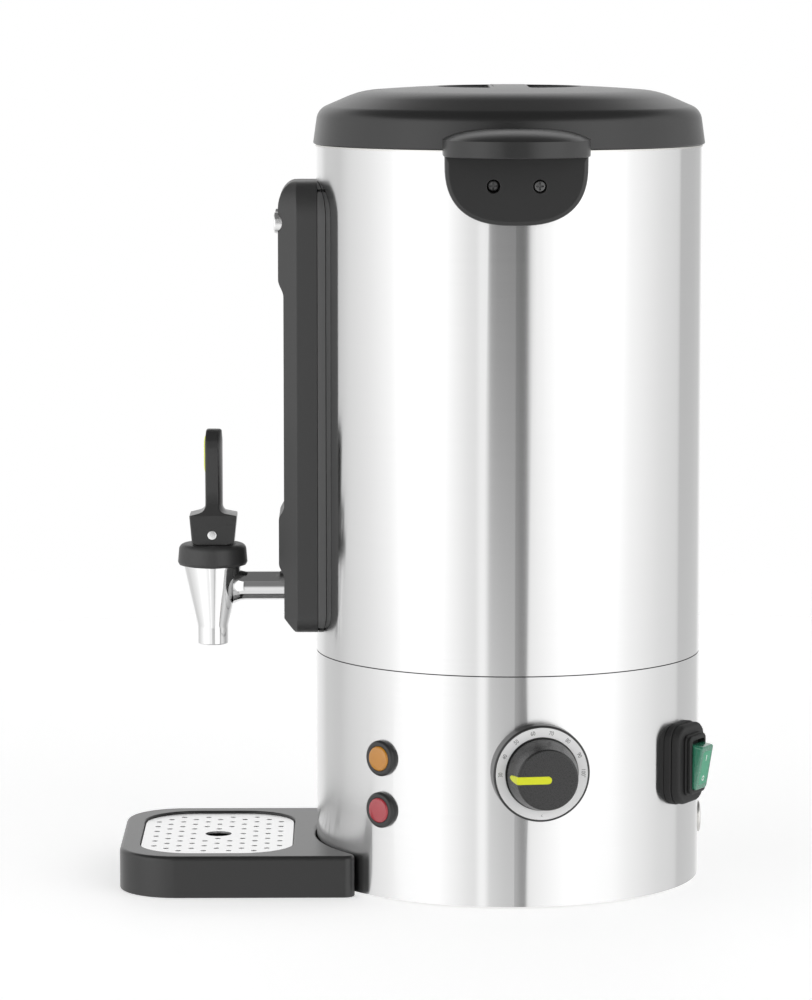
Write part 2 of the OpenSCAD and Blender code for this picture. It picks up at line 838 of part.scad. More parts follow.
module column_back() {
    color(black) facing(FRONT) difference() {
        union() {
            slab_x(body_r / 2, groove_x - groove_w / 2) column_outline(0);
            slab_x(body_r / 2, tongue_x) column_outline(tongue_inset);
        }
        body_space(seat_gap);
        translate([0, 0, pipe_z]) bar_x(0, far, fitting_r + seat_gap);
        translate([0, 0, cap_z]) bar_x(0, far, cap_shank_r + seat_gap);
    }
}

// A raised pad on the cover's face, with sloping ends
module cover_pad(foot_z, tall) {
    half = column_w / 2 - cover_round_w - 3;
    translate([0, 0, foot_z + tall / 2]) hull() {
        slab_x(cover_x - 2, cover_x) square([2 * half, tall + 2 * pad_h + 2], center = true);
        slab_x(cover_x, cover_x + pad_h) square([2 * half - 2 * pad_h, tall], center = true);
    }
}

module column_cover() {
    color(black) facing(FRONT) difference() {
        union() {
            difference() {
                union() {
                    hull() for (a = [0 : 18 : 90])
                        slab_x(groove_x + groove_w / 2, cover_edge_x + cover_round_d * sin(a))
                            column_outline(cover_round_w * (1 - cos(a)));
                    cover_pad(low_pad_z, low_pad_l);
                    cover_pad(high_pad_z, high_pad_l);
                }
                slab_x(body_r / 2, cover_cavity_x) column_outline(cover_wall);
            }
            // boss for the bright screw
            translate([0, 0, cap_z]) bar_x(tongue_x + seat_gap, cover_x, cap_shank_r + 3);
        }
        body_space(seat_gap);
        translate([0, 0, slot_foot_z + slot_l / 2]) slab_x(cover_cavity_x - over, far)
            round_rect(slot_w, slot_l, slot_w / 2 - 0.01);
        translate([0, 0, pipe_z]) bar_x(cover_cavity_x - over, far, pipe_r + seat_gap);
        translate([0, 0, cap_z]) {
            bar_x(0, far, cap_shank_r + seat_gap);
            bar_x(cover_x + pad_h - 0.4, far, cap_d / 2 + 0.3);
        }
    }
}

module gauge_tube() {
    color(clear_white) facing(FRONT) translate([glass_x, 0, 0])
        ring(glass_r, glass_r - glass_wall, glass_foot_z, glass_top_z);
}

// A sleeve that holds one end of the glass: deep is the height of the lip under the glass
module end_seal() {
    ring(seal_r, glass_r, 0, seal_h - seal_lip);
    ring(seal_r, glass_r - glass_wall, -seal_lip, 0);
}

module gauge_seals() {
    color(clear_white) facing(FRONT) translate([glass_x, 0, 0]) {
        translate([0, 0, glass_foot_z]) end_seal();
        translate([0, 0, glass_top_z]) mirror([0, 0, 1]) end_seal();
    }
}

module gauge_fitting() {
    top = glass_foot_z - seal_lip;
    color(bright) facing(FRONT) difference() {
        union() {
            translate([0, 0, pipe_z]) bar_x(tank_in_r - fitting_in, cover_cavity_x, fitting_r);
            // collar between the two walls
            intersection() {
                translate([0, 0, pipe_z]) bar_x(tank_out_r - 6, wall_in_r, fitting_r + 4);
                ring(wall_in_r - seat_gap, tank_out_r + seat_gap, pipe_z - 2 * pipe_r, pipe_z + 2 * pipe_r);
            }
            translate([glass_x, 0, pipe_z]) cylinder(r = seal_r - 0.3, h = top - pipe_z);
        }
        translate([0, 0, pipe_z]) bar_x(0, far, pipe_bore_r);
        translate([glass_x, 0, pipe_z]) cylinder(r = glass_r - glass_wall, h = far);
    }
}

module gauge_cap() {
    foot = glass_top_z + seal_lip;
    color(bright) facing(FRONT) translate([glass_x, 0, 0]) difference() {
        translate([0, 0, foot]) cylinder(r = seal_r, h = 11);
        translate([0, 0, foot - over]) cylinder(r = glass_r - glass_wall, h = 7 + over);
    }
}

module gauge_screw() {
    head_x = cover_x + pad_h - 0.4;
    color(bright) facing(FRONT) translate([0, 0, cap_z]) {
        bar_x(tank_out_r + 1.2, head_x + 0.5, cap_shank_r);
        translate([head_x, 0, 0]) turned_x() polygon([
            [0, 0], [cap_d / 2, 0], [cap_d / 2, cap_head_h - 0.6], [cap_d / 2 - 0.6, cap_head_h], [0, cap_head_h]]);
        nut_x(wall_in_r - 2.8, wall_in_r - 0.4, 9);
    }
}

module tank_washer() {
    color(rubber) facing(FRONT) intersection() {
        ring(tank_in_r - seat_gap, tank_in_r - washer_t, pipe_z - 2 * pipe_r, pipe_z + 2 * pipe_r);
        translate([0, 0, pipe_z]) difference() {
            bar_x(0, far, fitting_r + 4.5);
            bar_x(0, far, fitting_r);
        }
    }
}

module tank_nut() {
    x = sqrt(pow(tank_in_r - washer_t, 2) - pow(fitting_r + 4.5, 2)) - seat_gap;
    color(bright) facing(FRONT) translate([0, 0, pipe_z]) difference() {
        nut_x(x - tank_nut_t, x, 2 * (fitting_r + 3.5));
        bar_x(0, far, fitting_r);
    }
}

// ---------- Tap ----------

module at_tap() {
    facing(FRONT) translate([tap_reach, 0, 0]) children();
}

// Radius of the cone's outside at a height
function cone_r(z) = spout_r + (cone_top_r - spout_r) * (z - cone_foot_z) / (cone_top_z - cone_foot_z);

module tap_body() {
    chamber_top_r = neck_r - 3;
    color(bright) at_tap() difference() {
        union() {
            rotate_extrude() polygon([
                [0, spout_tip_z], [spout_r, spout_tip_z], [spout_r, cone_foot_z],
                [cone_top_r, cone_top_z - 1], [cone_top_r, cone_top_z],
                [neck_r, cone_top_z], [neck_r, cone_top_z + neck_h], [0, cone_top_z + neck_h]]);
            translate([0, 0, pipe_z]) bar_x(cover_cavity_x - tap_reach, -cone_r(pipe_z) / 2, pipe_r);
            // shoulder where the pipe meets the cone
            translate([0, 0, pipe_z]) bar_x(-cone_r(pipe_z) - 4.5, -cone_r(pipe_z) / 2, pipe_r + 1);
        }
        rotate_extrude() polygon([
            [0, spout_tip_z - over], [spout_bore_r, spout_tip_z - over], [spout_bore_r, seat_z - 3],
            [seat_r, seat_z - 1.5], [seat_r, seat_z], [cone_r(seat_z) - chamber_wall, seat_z],
            [chamber_top_r, cone_top_z - 3], [chamber_top_r, cone_top_z + neck_h + over],
            [0, cone_top_z + neck_h + over]]);
        translate([0, 0, pipe_z]) bar_x(-far, -cone_r(pipe_z) / 2, pipe_bore_r);
    }
}

module tap_collar() {
    ceiling = collar_top_z - collar_top_t;
    color(black) at_tap() rotate_extrude() polygon(concat(
        [[neck_r + seat_gap, collar_foot_z + 0.2], [collar_r, collar_foot_z + 0.2]],
        arc([collar_top_r - collar_round, collar_top_z - collar_round], collar_round, 0, 90),
        [[stem_hole_r, collar_top_z], [stem_hole_r, ceiling], [spring_room_r, ceiling],
         [spring_room_r, cone_top_z + neck_h + 0.2], [neck_r + seat_gap, cone_top_z + neck_h + 0.2]]));
}

module tap_stem() {
    color(bright) at_tap() difference() {
        union() {
            translate([0, 0, seat_z + 3.2]) cylinder(r = stem_r, h = pin_z - seat_z - 3.2);
            translate([0, 0, stem_flange_z]) cylinder(r = stem_flange_r, h = stem_flange_t);
            translate([0, 0, pin_z]) slab_y(eye_w) circle(r = eye_r);
        }
        translate([0, 0, pin_z]) slab_y(2 * eye_w) circle(r = pin_r + turn_gap);
    }
}

module seat_cup() {
    foot = seat_z + rest_gap;
    color(clear_white) at_tap() difference() {
        rotate_extrude() polygon([
            [0, foot], [cup_r - 1, foot], [cup_r, foot + 1], [cup_r, foot + 5],
            [stem_r + 2, foot + cup_h - 2], [stem_r + 2, stem_flange_z], [0, stem_flange_z]]);
        translate([0, 0, seat_z + 3.2]) cylinder(r = stem_r, h = far);
    }
}

// A round wire wound into a coil, as a swept polyhedron
module coil(r, wire, z0, z1, turns, sides = 6, steps = 14) {
    n = turns * steps;
    pts = [for (i = [0 : n], j = [0 : sides - 1])
        let (a = 360 * i / steps, b = 360 * j / sides, q = r + wire * cos(b))
        [q * cos(a), q * sin(a), z0 + (z1 - z0) * i / n + wire * sin(b)]];
    walls = [for (i = [0 : n - 1], j = [0 : sides - 1])
        let (k = (j + 1) % sides)
        [i * sides + k, i * sides + j, (i + 1) * sides + j, (i + 1) * sides + k]];
    ends = [[for (j = [0 : sides - 1]) j], [for (j = [sides - 1 : -1 : 0]) n * sides + j]];
    polyhedron(points = pts, faces = concat(walls, ends), convexity = 10);
}

module tap_spring() {
    foot = stem_flange_z + stem_flange_t + spring_wire_r + seat_gap;
    top = collar_top_z - collar_top_t - spring_wire_r - seat_gap;
    color(bright) at_tap() coil(spring_r, spring_wire_r, foot, top, spring_turns);
}

// ---------- Lever ----------

// Contact point of the foot at a tilt, in front of and above the pin. It is the involute that
// keeps the foot's lowest point on the collar while the pin rises by cam_k for each radian.
function cam_point(t) = let (h = cam_h + cam_k * t * PI / 180)
    [h * sin(t) + cam_k * cos(t), cam_k * sin(t) - h * cos(t)];

cam_side = [for (i = [0 : cam_steps]) cam_point((tilt_max + 2) * i / cam_steps)];

// One side of the lever's outline, from the cam's last point up to the paddle
function lever_side(paddle_x) =
    let (c = [block_r - shoulder_r, shoulder_z],
         s = [c[0] + shoulder_r * cos(shoulder_turn), c[1] + shoulder_r * sin(shoulder_turn)],
         r = (s[0] - paddle_x) / (1 - cos(shoulder_turn)),
         hollow = [paddle_x + r, s[1] + r * sin(shoulder_turn)])
    concat([[block_r, -1]], arc(c, shoulder_r, 0, shoulder_turn, 6),
           arc(hollow, r, 180 + shoulder_turn, 180, 8));

function mirrored(points) = [for (p = flip(points)) [-p[0], p[1]]];

module lever_outline() {
    back = paddle_t - paddle_front;
    top_r = paddle_t / 2 - 0.6;
    polygon(concat(
        cam_side, lever_side(paddle_front),
        arc([paddle_front - top_r, lever_h - top_r], top_r, 0, 90, 6),
        arc([top_r - back, lever_h - top_r], top_r, 90, 180, 6),
        mirrored(lever_side(back)), mirrored(cam_side)));
}

module lever_front() {
    r = paddle_w / 2;
    waist = paddle_w / 2 - 2.5;
    translate([0, lever_h - r]) circle(r = r);
    polygon([[-r, lever_h - r], [-waist, 20], [-block_w / 2, 9], [-block_w / 2, -far], [block_w / 2, -far],
             [block_w / 2, 9], [waist, 20], [r, lever_h - r]]);
}

// The inlay's outline in Y and Z, about the pin
module inlay_shape(grow) {
    translate([0, lever_h - inlay_drop - inlay_l / 2])
        round_rect(inlay_w + 2 * grow, inlay_l + 2 * grow, inlay_w / 2 + grow - 0.01);
}

module tap_lever() {
    slot_h = eye_r + 1.2;
    color(black) at_tap() translate([0, 0, pin_z]) difference() {
        intersection() {
            slab_y(block_w) lever_outline();
            slab_x(-block_r - over, block_r + over) lever_front();
        }
        // slot for the stem's eye
        translate([-cam_k, -lever_slot_w / 2, -cam_h - over]) cube([2 * cam_k, lever_slot_w, cam_h + over + slot_h]);
        slab_y(far) circle(r = pin_r);
        slab_x(paddle_front - inlay_t, far) inlay_shape(0);
    }
}

module lever_accent() {
    color(lime) at_tap() translate([0, 0, pin_z])
        slab_x(paddle_front - inlay_t, paddle_front + inlay_proud) inlay_shape(0);
}

module lever_pin() {
    color(bright) at_tap() translate([0, 0, pin_z]) {
        slab_y(block_w + 0.2) circle(r = pin_r);
        for (side = [-1, 1]) translate([0, side * (block_w + pin_head_h) / 2, 0])
            slab_y(pin_head_h) circle(r = pin_head_r);
    }
}

// ---------- Dial ----------

module at_dial() {
    facing(dial_angle) translate([0, 0, dial_z]) children();
}

module dial_skirt() {
    color(black) at_dial() difference() {
        bar_x(body_r - 6, skirt_x, skirt_d / 2);
        translate([0, 0, -dial_z]) body_space(seat_gap);
        bar_x(0, far, bushing_r);
        bar_x(skirt_x - scale_t, far, scale_d / 2);
    }
}

module scale_ring() {
    color(steel) at_dial() difference() {
        bar_x(skirt_x - scale_t, skirt_x, scale_d / 2);
        bar_x(0, far, scale_in_r);
    }
}

// The knob's outside, or a surface that lies outside or inside it by grow
module knob_solid(grow) {
    translate([knob_x, 0, 0]) turned_x() polygon([
        [0, 0], [knob_d / 2 + grow, 0], [knob_d / 2 + grow, knob_rim_h],
        [knob_face_d / 2 + grow, knob_h - 0.5 - knob_edge + grow],
        [knob_face_d / 2 - knob_edge + grow, knob_h - 0.5 + grow], [0, knob_h - 0.5 + grow]]);
}

// The strip that holds the pointer, from the centre towards -Y
module pointer_strip() {
    translate([0, -far / 2, -pointer_w / 2]) cube([far, far / 2, pointer_w]);
    bar_x(0, far, pointer_w / 2);
}

module dial_knob() {
    color(black) at_dial() difference() {
        knob_solid(0);
        difference() {
            translate([knob_x + knob_rim_h, 0, 0]) pointer_strip();
            knob_solid(-inlay_depth);
        }
        shaft_shape();
    }
}

module knob_pointer() {
    color(lime) at_dial() difference() {
        intersection() {
            translate([knob_x + knob_rim_h, 0, 0]) pointer_strip();
            knob_solid(inlay_rise);
        }
        knob_solid(-inlay_depth);
    }
}

// The shaft, round in its bearing and flat on one side in the knob
module shaft_shape() {
    difference() {
        bar_x(thermostat_x - thermostat_l + 3, shaft_end_x, shaft_r);
        translate([knob_x, -far / 2, shaft_flat]) cube([far, far, far]);
    }
}

module thermostat_shaft() {
    color(bright) at_dial() shaft_shape();
}

module thermostat_body() {
    color(bright) at_dial() difference() {
        union() {
            translate([thermostat_x - thermostat_l, -thermostat_w / 2, -thermostat_w / 2])
                cube([thermostat_l, thermostat_w, thermostat_w]);
            bar_x(thermostat_x - 1, body_r + 3, bushing_r);
        }
        bar_x(thermostat_x - thermostat_l + 2, far, shaft_r + turn_gap);
    }
}

// ---------- Lamps ----------

module at_lamp(z) {
    facing(lamp_angle) translate([0, 0, z]) children();
}

module lamp_bezels() {
    color(black) for (z = [lamp_z, lamp_z + lamp_gap]) at_lamp(z) difference() {
        translate([body_r - 2, 0, 0]) turned_x() polygon(concat(
            [[lens_r + 0.1, 0], [bezel_r, 0]],
            arc([bezel_r - 2, bezel_h], 2, 0, 90, 6),
            [[lens_r + 0.1, bezel_h + 2]]));
        translate([0, 0, -z]) body_space(seat_gap);
    }
}

module lens(z) {
    at_lamp(z) translate([body_r - 1, 0, 0]) turned_x() polygon(concat(
        [[0, 0], [lens_r, 0]],
        [for (i = [0 : 5]) [lens_r * cos(15 * i + 0.01 * i), bezel_h + 0.4 + lens_dome * sin(15 * i)]],
        [[0, bezel_h + 0.4 + lens_dome]]));
}

module amber_lens() {
    color("orange") lens(lamp_z + lamp_gap);
}

module red_lens() {
    color("red") lens(lamp_z);
}

module lamp_bodies() {
    color(bright) for (z = [lamp_z, lamp_z + lamp_gap]) at_lamp(z) {
        bar_x(body_r - 1 - barrel_l, body_r - 1, barrel_r);
        nut_x(wall_in_r - 4, wall_in_r - 1, 2 * barrel_r + 4);
    }
}

// ---------- Switch ----------

module at_switch() {
    facing(switch_angle) translate([0, 0, switch_z]) children();
}

module switch_gasket() {
    color(rubber) at_switch() difference() {
        slab_x(body_r - 4, body_r + gasket_t) round_rect(flange_w, flange_h, flange_r);
        slab_x(0, far) square([case_w, case_h], center = true);
        translate([0, 0, -switch_z]) body_space(seat_gap);
    }
}

module switch_housing() {
    color(black) at_switch() difference() {
        union() {
            slab_x(body_r + gasket_t, body_r + flange_out) round_rect(flange_w - 1, flange_h - 1, flange_r - 0.5);
            slab_x(body_r + gasket_t, body_r + frame_out)
                round_rect(pocket_w + 2 * frame_margin, pocket_h + 2 * frame_margin, frame_r);
            slab_x(body_r - case_l, body_r + flange_out) square([case_w, case_h], center = true);
        }
        slab_x(body_r - pocket_deep, far) square([pocket_w, pocket_h], center = true);
        translate([pivot_x, 0, 0]) slab_y(rocker_w + 2 * pivot_l + 0.4) circle(r = pivot_r + turn_gap);
    }
}

module switch_rocker() {
    // off is the rest position: the upper end stands out
    color([0.1, 0.65, 0.45]) at_switch() translate([pivot_x, 0, 0]) rotate([0, rocker_travel / 2, 0]) {
        slab_y(rocker_w) polygon([
            [-rocker_back, -rocker_h / 4], [rocker_back, -rocker_h / 2], [rocker_reach, -rocker_h / 2],
            [rocker_reach, rocker_h / 2], [rocker_back, rocker_h / 2], [-rocker_back, rocker_h / 4]]);
        slab_y(rocker_w + 2 * pivot_l) circle(r = pivot_r);
    }
}

// ---------- Drip tray ----------

// The tray's outline: straight sides, round front corners and a hollow back around the body
module tray_outline(inset) {
    w = tray_w / 2 - inset;
    r = tray_corner_r - inset;
    front = tray_front_y + inset;
    difference() {
        union() {
            translate([-w, front + r]) square([2 * w, -front - r]);
            translate([r - w, front]) square([2 * (w - r), r]);
            for (x = [-1, 1]) translate([x * (w - r), front + r]) circle(r = r);
        }
        circle(r = tray_hug_r + inset);
    }
}

module at_grill() {
    translate([0, grill_y, 0]) children();
}

module drip_tray() {
    basin_w = grill_w - 2 * ledge_w;
    basin_d = grill_d - 2 * ledge_w;
    basin_r = grill_r - ledge_w;
    color(black) difference() {
        linear_extrude(tray_h) tray_outline(0);
        // place for the grill
        translate([0, 0, ledge_z]) linear_extrude(far) at_grill()
            round_rect(grill_w + 2 * grill_gap, grill_d + 2 * grill_gap, grill_r + grill_gap);
        // basin
        translate([0, 0, basin_floor_z]) linear_extrude(far) at_grill() round_rect(basin_w, basin_d, basin_r);
        // hollow underside around the basin
        translate([0, 0, -over]) linear_extrude(ledge_z - tray_t + over) difference() {
            tray_outline(tray_t);
            at_grill() round_rect(basin_w + 2 * tray_t, basin_d + 2 * tray_t, basin_r + tray_t);
        }
    }
}

module drip_grill() {
    nx = floor((grill_w / 2 - hole_margin) / hole_pitch);
    ny = floor((grill_d / 2 - hole_margin) / hole_pitch);
    cx = grill_w / 2 - grill_r;
    cy = grill_d / 2 - grill_r;
    color(bright) translate([0, 0, grill_z]) at_grill() linear_extrude(grill_t) difference() {
        round_rect(grill_w, grill_d, grill_r);
        circle(d = finger_d);
        for (i = [-nx : nx], j = [-ny : ny]) {
            x = i * hole_pitch;
            y = j * hole_pitch;
            past_corner = norm([max(abs(x) - cx, 0), max(abs(y) - cy, 0)]);
            if ((i + j) % 2 == 0 && norm([x, y]) > finger_d / 2 + hole_d
                    && past_corner < grill_r - hole_margin)
                translate([x, y]) circle(d = hole_d);
        }
    }
}

base_shell();
outer_wall();
inner_tank();
support_ring();
seam_gasket();
bottom_plate();
feet();
element_plate();
element_terminals();
thermal_cutout();
cable_gland();
lid();
lid_liner();
lid_seal();
handle_right();
handle_left();
handle_screws();
handle_nuts();
column_back();
column_cover();
gauge_tube();
gauge_seals();
gauge_fitting();
gauge_cap();
gauge_screw();
tank_nut();
tank_washer();
tap_body();
tap_collar();
tap_stem();
seat_cup();
tap_spring();
tap_lever();
lever_accent();
lever_pin();
dial_skirt();
scale_ring();
dial_knob();
knob_pointer();
thermostat_shaft();
thermostat_body();
lamp_bezels();
amber_lens();
red_lens();
lamp_bodies();
switch_gasket();
switch_housing();
switch_rocker();
drip_tray();
drip_grill();
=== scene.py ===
# %% [markdown]
# # Hot water urn
# The urn is a double-walled steel body on a control base, with a moulded lid and handles, a
# level gauge column, a lever tap and a drip tray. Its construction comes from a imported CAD
# frame in metres. This notebook gives it the surfaces that the eye sees: softly rounded
# mouldings, brushed sheet, chrome, numbers on the dial, and light to show them.
#
# Loading the frame comes first, because every size below is read from it or fits into it.

# %% Load the frame
import math

import bmesh
import bpy
from mathutils import Matrix, Vector


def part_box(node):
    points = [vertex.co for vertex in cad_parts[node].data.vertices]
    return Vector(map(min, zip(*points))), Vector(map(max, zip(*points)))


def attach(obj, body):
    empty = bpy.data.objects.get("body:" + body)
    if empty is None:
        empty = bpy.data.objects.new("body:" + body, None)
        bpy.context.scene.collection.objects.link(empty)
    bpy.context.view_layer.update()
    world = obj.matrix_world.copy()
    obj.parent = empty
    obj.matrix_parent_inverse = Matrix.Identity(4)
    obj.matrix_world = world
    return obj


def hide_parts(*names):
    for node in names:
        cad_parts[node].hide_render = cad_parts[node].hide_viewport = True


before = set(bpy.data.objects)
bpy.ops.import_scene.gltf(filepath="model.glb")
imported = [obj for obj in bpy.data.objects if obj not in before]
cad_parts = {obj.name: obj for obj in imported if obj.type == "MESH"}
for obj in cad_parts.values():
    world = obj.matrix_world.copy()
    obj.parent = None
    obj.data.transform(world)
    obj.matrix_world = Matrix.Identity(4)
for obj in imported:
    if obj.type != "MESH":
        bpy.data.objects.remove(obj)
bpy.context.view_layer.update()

# %% [markdown]
# ## Units and places
# Blender works in metres and a maker thinks in millimetres, so shapes are drawn in
# millimetres and scaled once, when a piece is finished. Pieces on the round body are drawn
# facing +X and turned to their direction, as a maker would set out holes on a tube.

# %% Units, reading the frame, and turning
MM = 0.001
LIE_ON_X = Matrix.Rotation(math.pi / 2, 4, "Y")      # lays a piece that was turned about Z along X


def box_mm(node):
    """Lowest and highest corner of a CAD node, in millimetres."""
    low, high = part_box(node)
    return low / MM, high / MM


def facing(angle, x=0.0, z=0.0):
    """Places a piece drawn about the origin, facing +X, on the body in a direction in degrees."""
    return Matrix.Rotation(math.radians(angle), 4, "Z") @ Matrix.Translation((x, 0, z))


wall_low, wall_high = box_mm("outer_wall")
body_r = wall_high.x
seat_r = body_r + 0.15      # what lies on the wall keeps this much air behind it
TAP_SIDE = -90
print("body radius", round(body_r, 2), "wall from", round(wall_low.z, 2), "to", round(wall_high.z, 2))

# %% [markdown]
# ## Outlines with round corners
# Moulded and pressed parts have no sharp corners. Rounding the outline before it is spun or
# lofted puts an exact radius where it belongs, and costs only a few points. One function
# takes corners as (x, y, radius) and returns the points of the rounded line.

# %% A rounded outline
def rounded(corners, closed=True, steps=5):
    """Points of an outline whose corners (x, y, radius) are arcs. A corner of two numbers is sharp."""
    points = []
    for i, (x, y, *radius) in enumerate(corners):
        at_end = not closed and i in (0, len(corners) - 1)
        if not radius or at_end:
            points.append((x, y))
            continue
        here = Vector((x, y))
        back = (Vector(corners[i - 1][:2]) - here).normalized()
        ahead = (Vector(corners[(i + 1) % len(corners)][:2]) - here).normalized()
        half = back.angle(ahead) / 2
        centre = here + (back + ahead).normalized() * radius[0] / math.sin(half)
        first = here + back * radius[0] / math.tan(half) - centre
        last = here + ahead * radius[0] / math.tan(half) - centre
        start = math.atan2(first.y, first.x)
        turn = (math.atan2(last.y, last.x) - start + math.pi) % math.tau - math.pi
        points += arc(centre, radius[0], start, start + turn, steps)
    return points


def even(first, last, steps):
    """Evenly spaced values, both ends included."""
    return [first + (last - first) * k / steps for k in range(steps + 1)]


def arc(centre, radius, first, last, steps):
    """Points of an arc. Angles in radians, from the first axis towards the second."""
    return [(centre[0] + radius * math.cos(a), centre[1] + radius * math.sin(a))
            for a in even(first, last, steps)]


def round_rect(width, height, radius, steps=8, centre=(0, 0)):
    """A rectangle with round corners."""
    w, h = width / 2, height / 2
    line = rounded([(-w, -h, radius), (w, -h, radius), (w, h, radius), (-w, h, radius)], steps=steps)
    return [(x + centre[0], y + centre[1]) for x, y in line]


def circle(radius, count=48, centre=(0, 0)):
    """A round outline."""
    return arc(centre, radius, 0, math.tau, count)[:-1]


def quarter(steps, low=0.0, high=90.0):
    """Angles in radians of a quarter turn, or of a part of it."""
    return [math.radians(a) for a in even(low, high, steps)]


print("a corner of radius 2 has", len(rounded([(0, 0), (10, 0, 2), (10, 10)], closed=False)) - 2, "points")

# %% [markdown]
# ## Three ways to make a solid
# * Spinning suits whatever a lathe or a round mould makes: shells, knobs, the tap's cone.
# * Lofting joins a row of outlines with faces, which gives a moulding its own radius on
#   every edge. Bridging loops does the joining.
# * Cutting is a boolean, kept for real openings such as slots and screw wells.

# %% Spin and loft
WELD = 1e-4      # points closer than this, in mm, become one


def spun(profile, turns=128, closed=True):
    """A new bmesh of points (radius, height) spun about Z."""
    bm = bmesh.new()
    verts = [bm.verts.new((r, 0, z)) for r, z in profile]
    pairs = list(zip(verts, verts[1:])) + ([(verts[-1], verts[0])] if closed else [])
    edges = [bm.edges.new(pair) for pair in pairs]
    bmesh.ops.spin(bm, geom=verts + edges, axis=(0, 0, 1), cent=(0, 0, 0),
                   angle=math.tau, steps=turns, use_merge=True)
    bmesh.ops.remove_doubles(bm, verts=bm.verts, dist=WELD)
    return bm


def loft(loops):
    """A new bmesh that joins closed loops of 3-D points with faces, and closes both ends."""
    bm = bmesh.new()
    rings = []
    for loop in loops:
        verts = [bm.verts.new(p) for p in loop]
        rings.append([bm.edges.new((a, b)) for a, b in zip(verts, verts[1:] + verts[:1])])
    for ring, following in zip(rings, rings[1:]):
        bmesh.ops.bridge_loops(bm, edges=ring + following)
    for ring in (rings[0], rings[-1]):
        bmesh.ops.contextual_create(bm, geom=ring)
    return bm


def moved(bm, matrix):
    """The bmesh after a move or a turn."""
    bmesh.ops.transform(bm, matrix=matrix, verts=bm.verts)
    return bm


def turned_x(corners, turns=96, closed=True, steps=4):
    """Spins an outline of (radius, x, corner radius) about X."""
    return moved(spun(rounded(corners, closed=closed, steps=steps), turns, closed), LIE_ON_X)


print("a spun ring has", len(turned_x([(5, 0), (6, 0), (6, 1), (5, 1)]).faces), "faces")

# %% Cut and join
def solid(bm):
    """The bmesh as a temporary object, with faces pointing out."""
    bmesh.ops.remove_doubles(bm, verts=bm.verts, dist=WELD)
    bmesh.ops.recalc_face_normals(bm, faces=bm.faces)
    mesh = bpy.data.meshes.new("temporary")
    bm.to_mesh(mesh)
    bm.free()
    thing = bpy.data.objects.new("temporary", mesh)
    bpy.context.collection.objects.link(thing)
    return thing


def cut(bm, cutters, operation="DIFFERENCE"):
    """The bmesh with the cutters, also bmeshes, taken out of it, added to it or kept in common."""
    blank = solid(bm)
    tools = [solid(cutter) for cutter in cutters]
    for tool in tools:
        step = blank.modifiers.new("cut", "BOOLEAN")
        step.operation = operation
        step.solver = "EXACT"
        step.object = tool
    bpy.context.view_layer.update()
    result = bmesh.new()
    result.from_object(blank, bpy.context.evaluated_depsgraph_get())
    for thing in [blank] + tools:
        mesh = thing.data
        bpy.data.objects.remove(thing)
        bpy.data.meshes.remove(mesh)
    return result


def joined(*parts):
    """One bmesh that holds several."""
    whole = bmesh.new()
    for part in parts:
        mesh = bpy.data.meshes.new("temporary")
        part.to_mesh(mesh)
        part.free()
        whole.from_mesh(mesh)
        bpy.data.meshes.remove(mesh)
    return whole


print("makers: spun, loft, turned_x, cut, joined")

# %% [markdown]
# ## Levels, edges and cutters
# A loft needs its outlines set at levels. An edge radius is a quarter circle of ever smaller
# outlines, so an outline can be moved inwards or outwards by any distance. The same offset
# gives a cutter a flared mouth, and the flare leaves the hole with a rounded rim, as a mould
# has for easy release.

# %% Levels
def along_x(outline, x):
    """An outline in Y and Z, set at a distance along X."""
    return [(x, y, z) for y, z in outline]


def along_z(outline, z):
    """An outline in X and Y, set at a height."""
    return [(x, y, z) for x, y in outline]


def along_z_down(outline, z):
    """An outline in X and Y, set at a height that is counted downwards."""
    return along_z(outline, -z)


def on_wall(outline):
    """An outline in Y and Z laid onto the round wall."""
    return [(math.sqrt(seat_r ** 2 - y * y), y, z) for y, z in outline]


def bar(outline, at, low, high):
    """A straight bar with the outline as its section."""
    return loft([at(outline, low), at(outline, high)])


print("a point 30 off the middle lies on the wall at x =", round(on_wall([(30, 0)])[0][0], 2))

# %% Offsets and edges
CUT_PAST = 5.0       # how far a cutter reaches past the surface
MOUTH_TURN = 82      # degrees of a mouth's rim, which stops short of lying flat in the surface


def grown(outline, distance):
    """A counter-clockwise outline moved outwards, or inwards where the distance is negative."""
    moved_out = []
    for i, (x, y) in enumerate(outline):
        before = Vector(outline[i - 1])
        after = Vector(outline[(i + 1) % len(outline)])
        along = (after - before).normalized()
        moved_out.append((x + distance * along.y, y - distance * along.x))
    return moved_out


def foot_edge(outline, at, level, radius, steps):
    """Loops of a rounded lower edge, from a level upwards."""
    return [at(grown(outline, -radius * (1 - math.sin(a))), level + radius * (1 - math.cos(a)))
            for a in quarter(steps)]


def top_edge(outline, at, level, radius, steps):
    """Loops of a rounded upper edge that ends at a level."""
    return [at(grown(outline, -radius * (1 - math.cos(a))), level - radius * (1 - math.sin(a)))
            for a in quarter(steps)]


def rim_edge(outline, at, level, radius):
    """Loops of a cutter's flare up to a level, which leaves a rounded rim."""
    return [at(grown(outline, radius * (1 - math.cos(a))), level - radius * (1 - math.sin(a)))
            for a in quarter(4, high=MOUTH_TURN)]


def mouth(outline, at, floor, surface, rim):
    """A cutter from a floor up to a surface, with a flare there."""
    return loft([at(outline, floor)] + rim_edge(outline, at, surface, rim)
                + [at(grown(outline, rim), surface + CUT_PAST)])


def rising(outline, base, steps):
    """Loops of an outline at distances along X from a base, each grown by its own amount."""
    return [along_x(grown(outline, grow) if grow else outline, base + x) for x, grow in steps]


print("a circle of 10 grown by 2 reaches", round(max(x for x, y in grown(circle(10), 2)), 2))

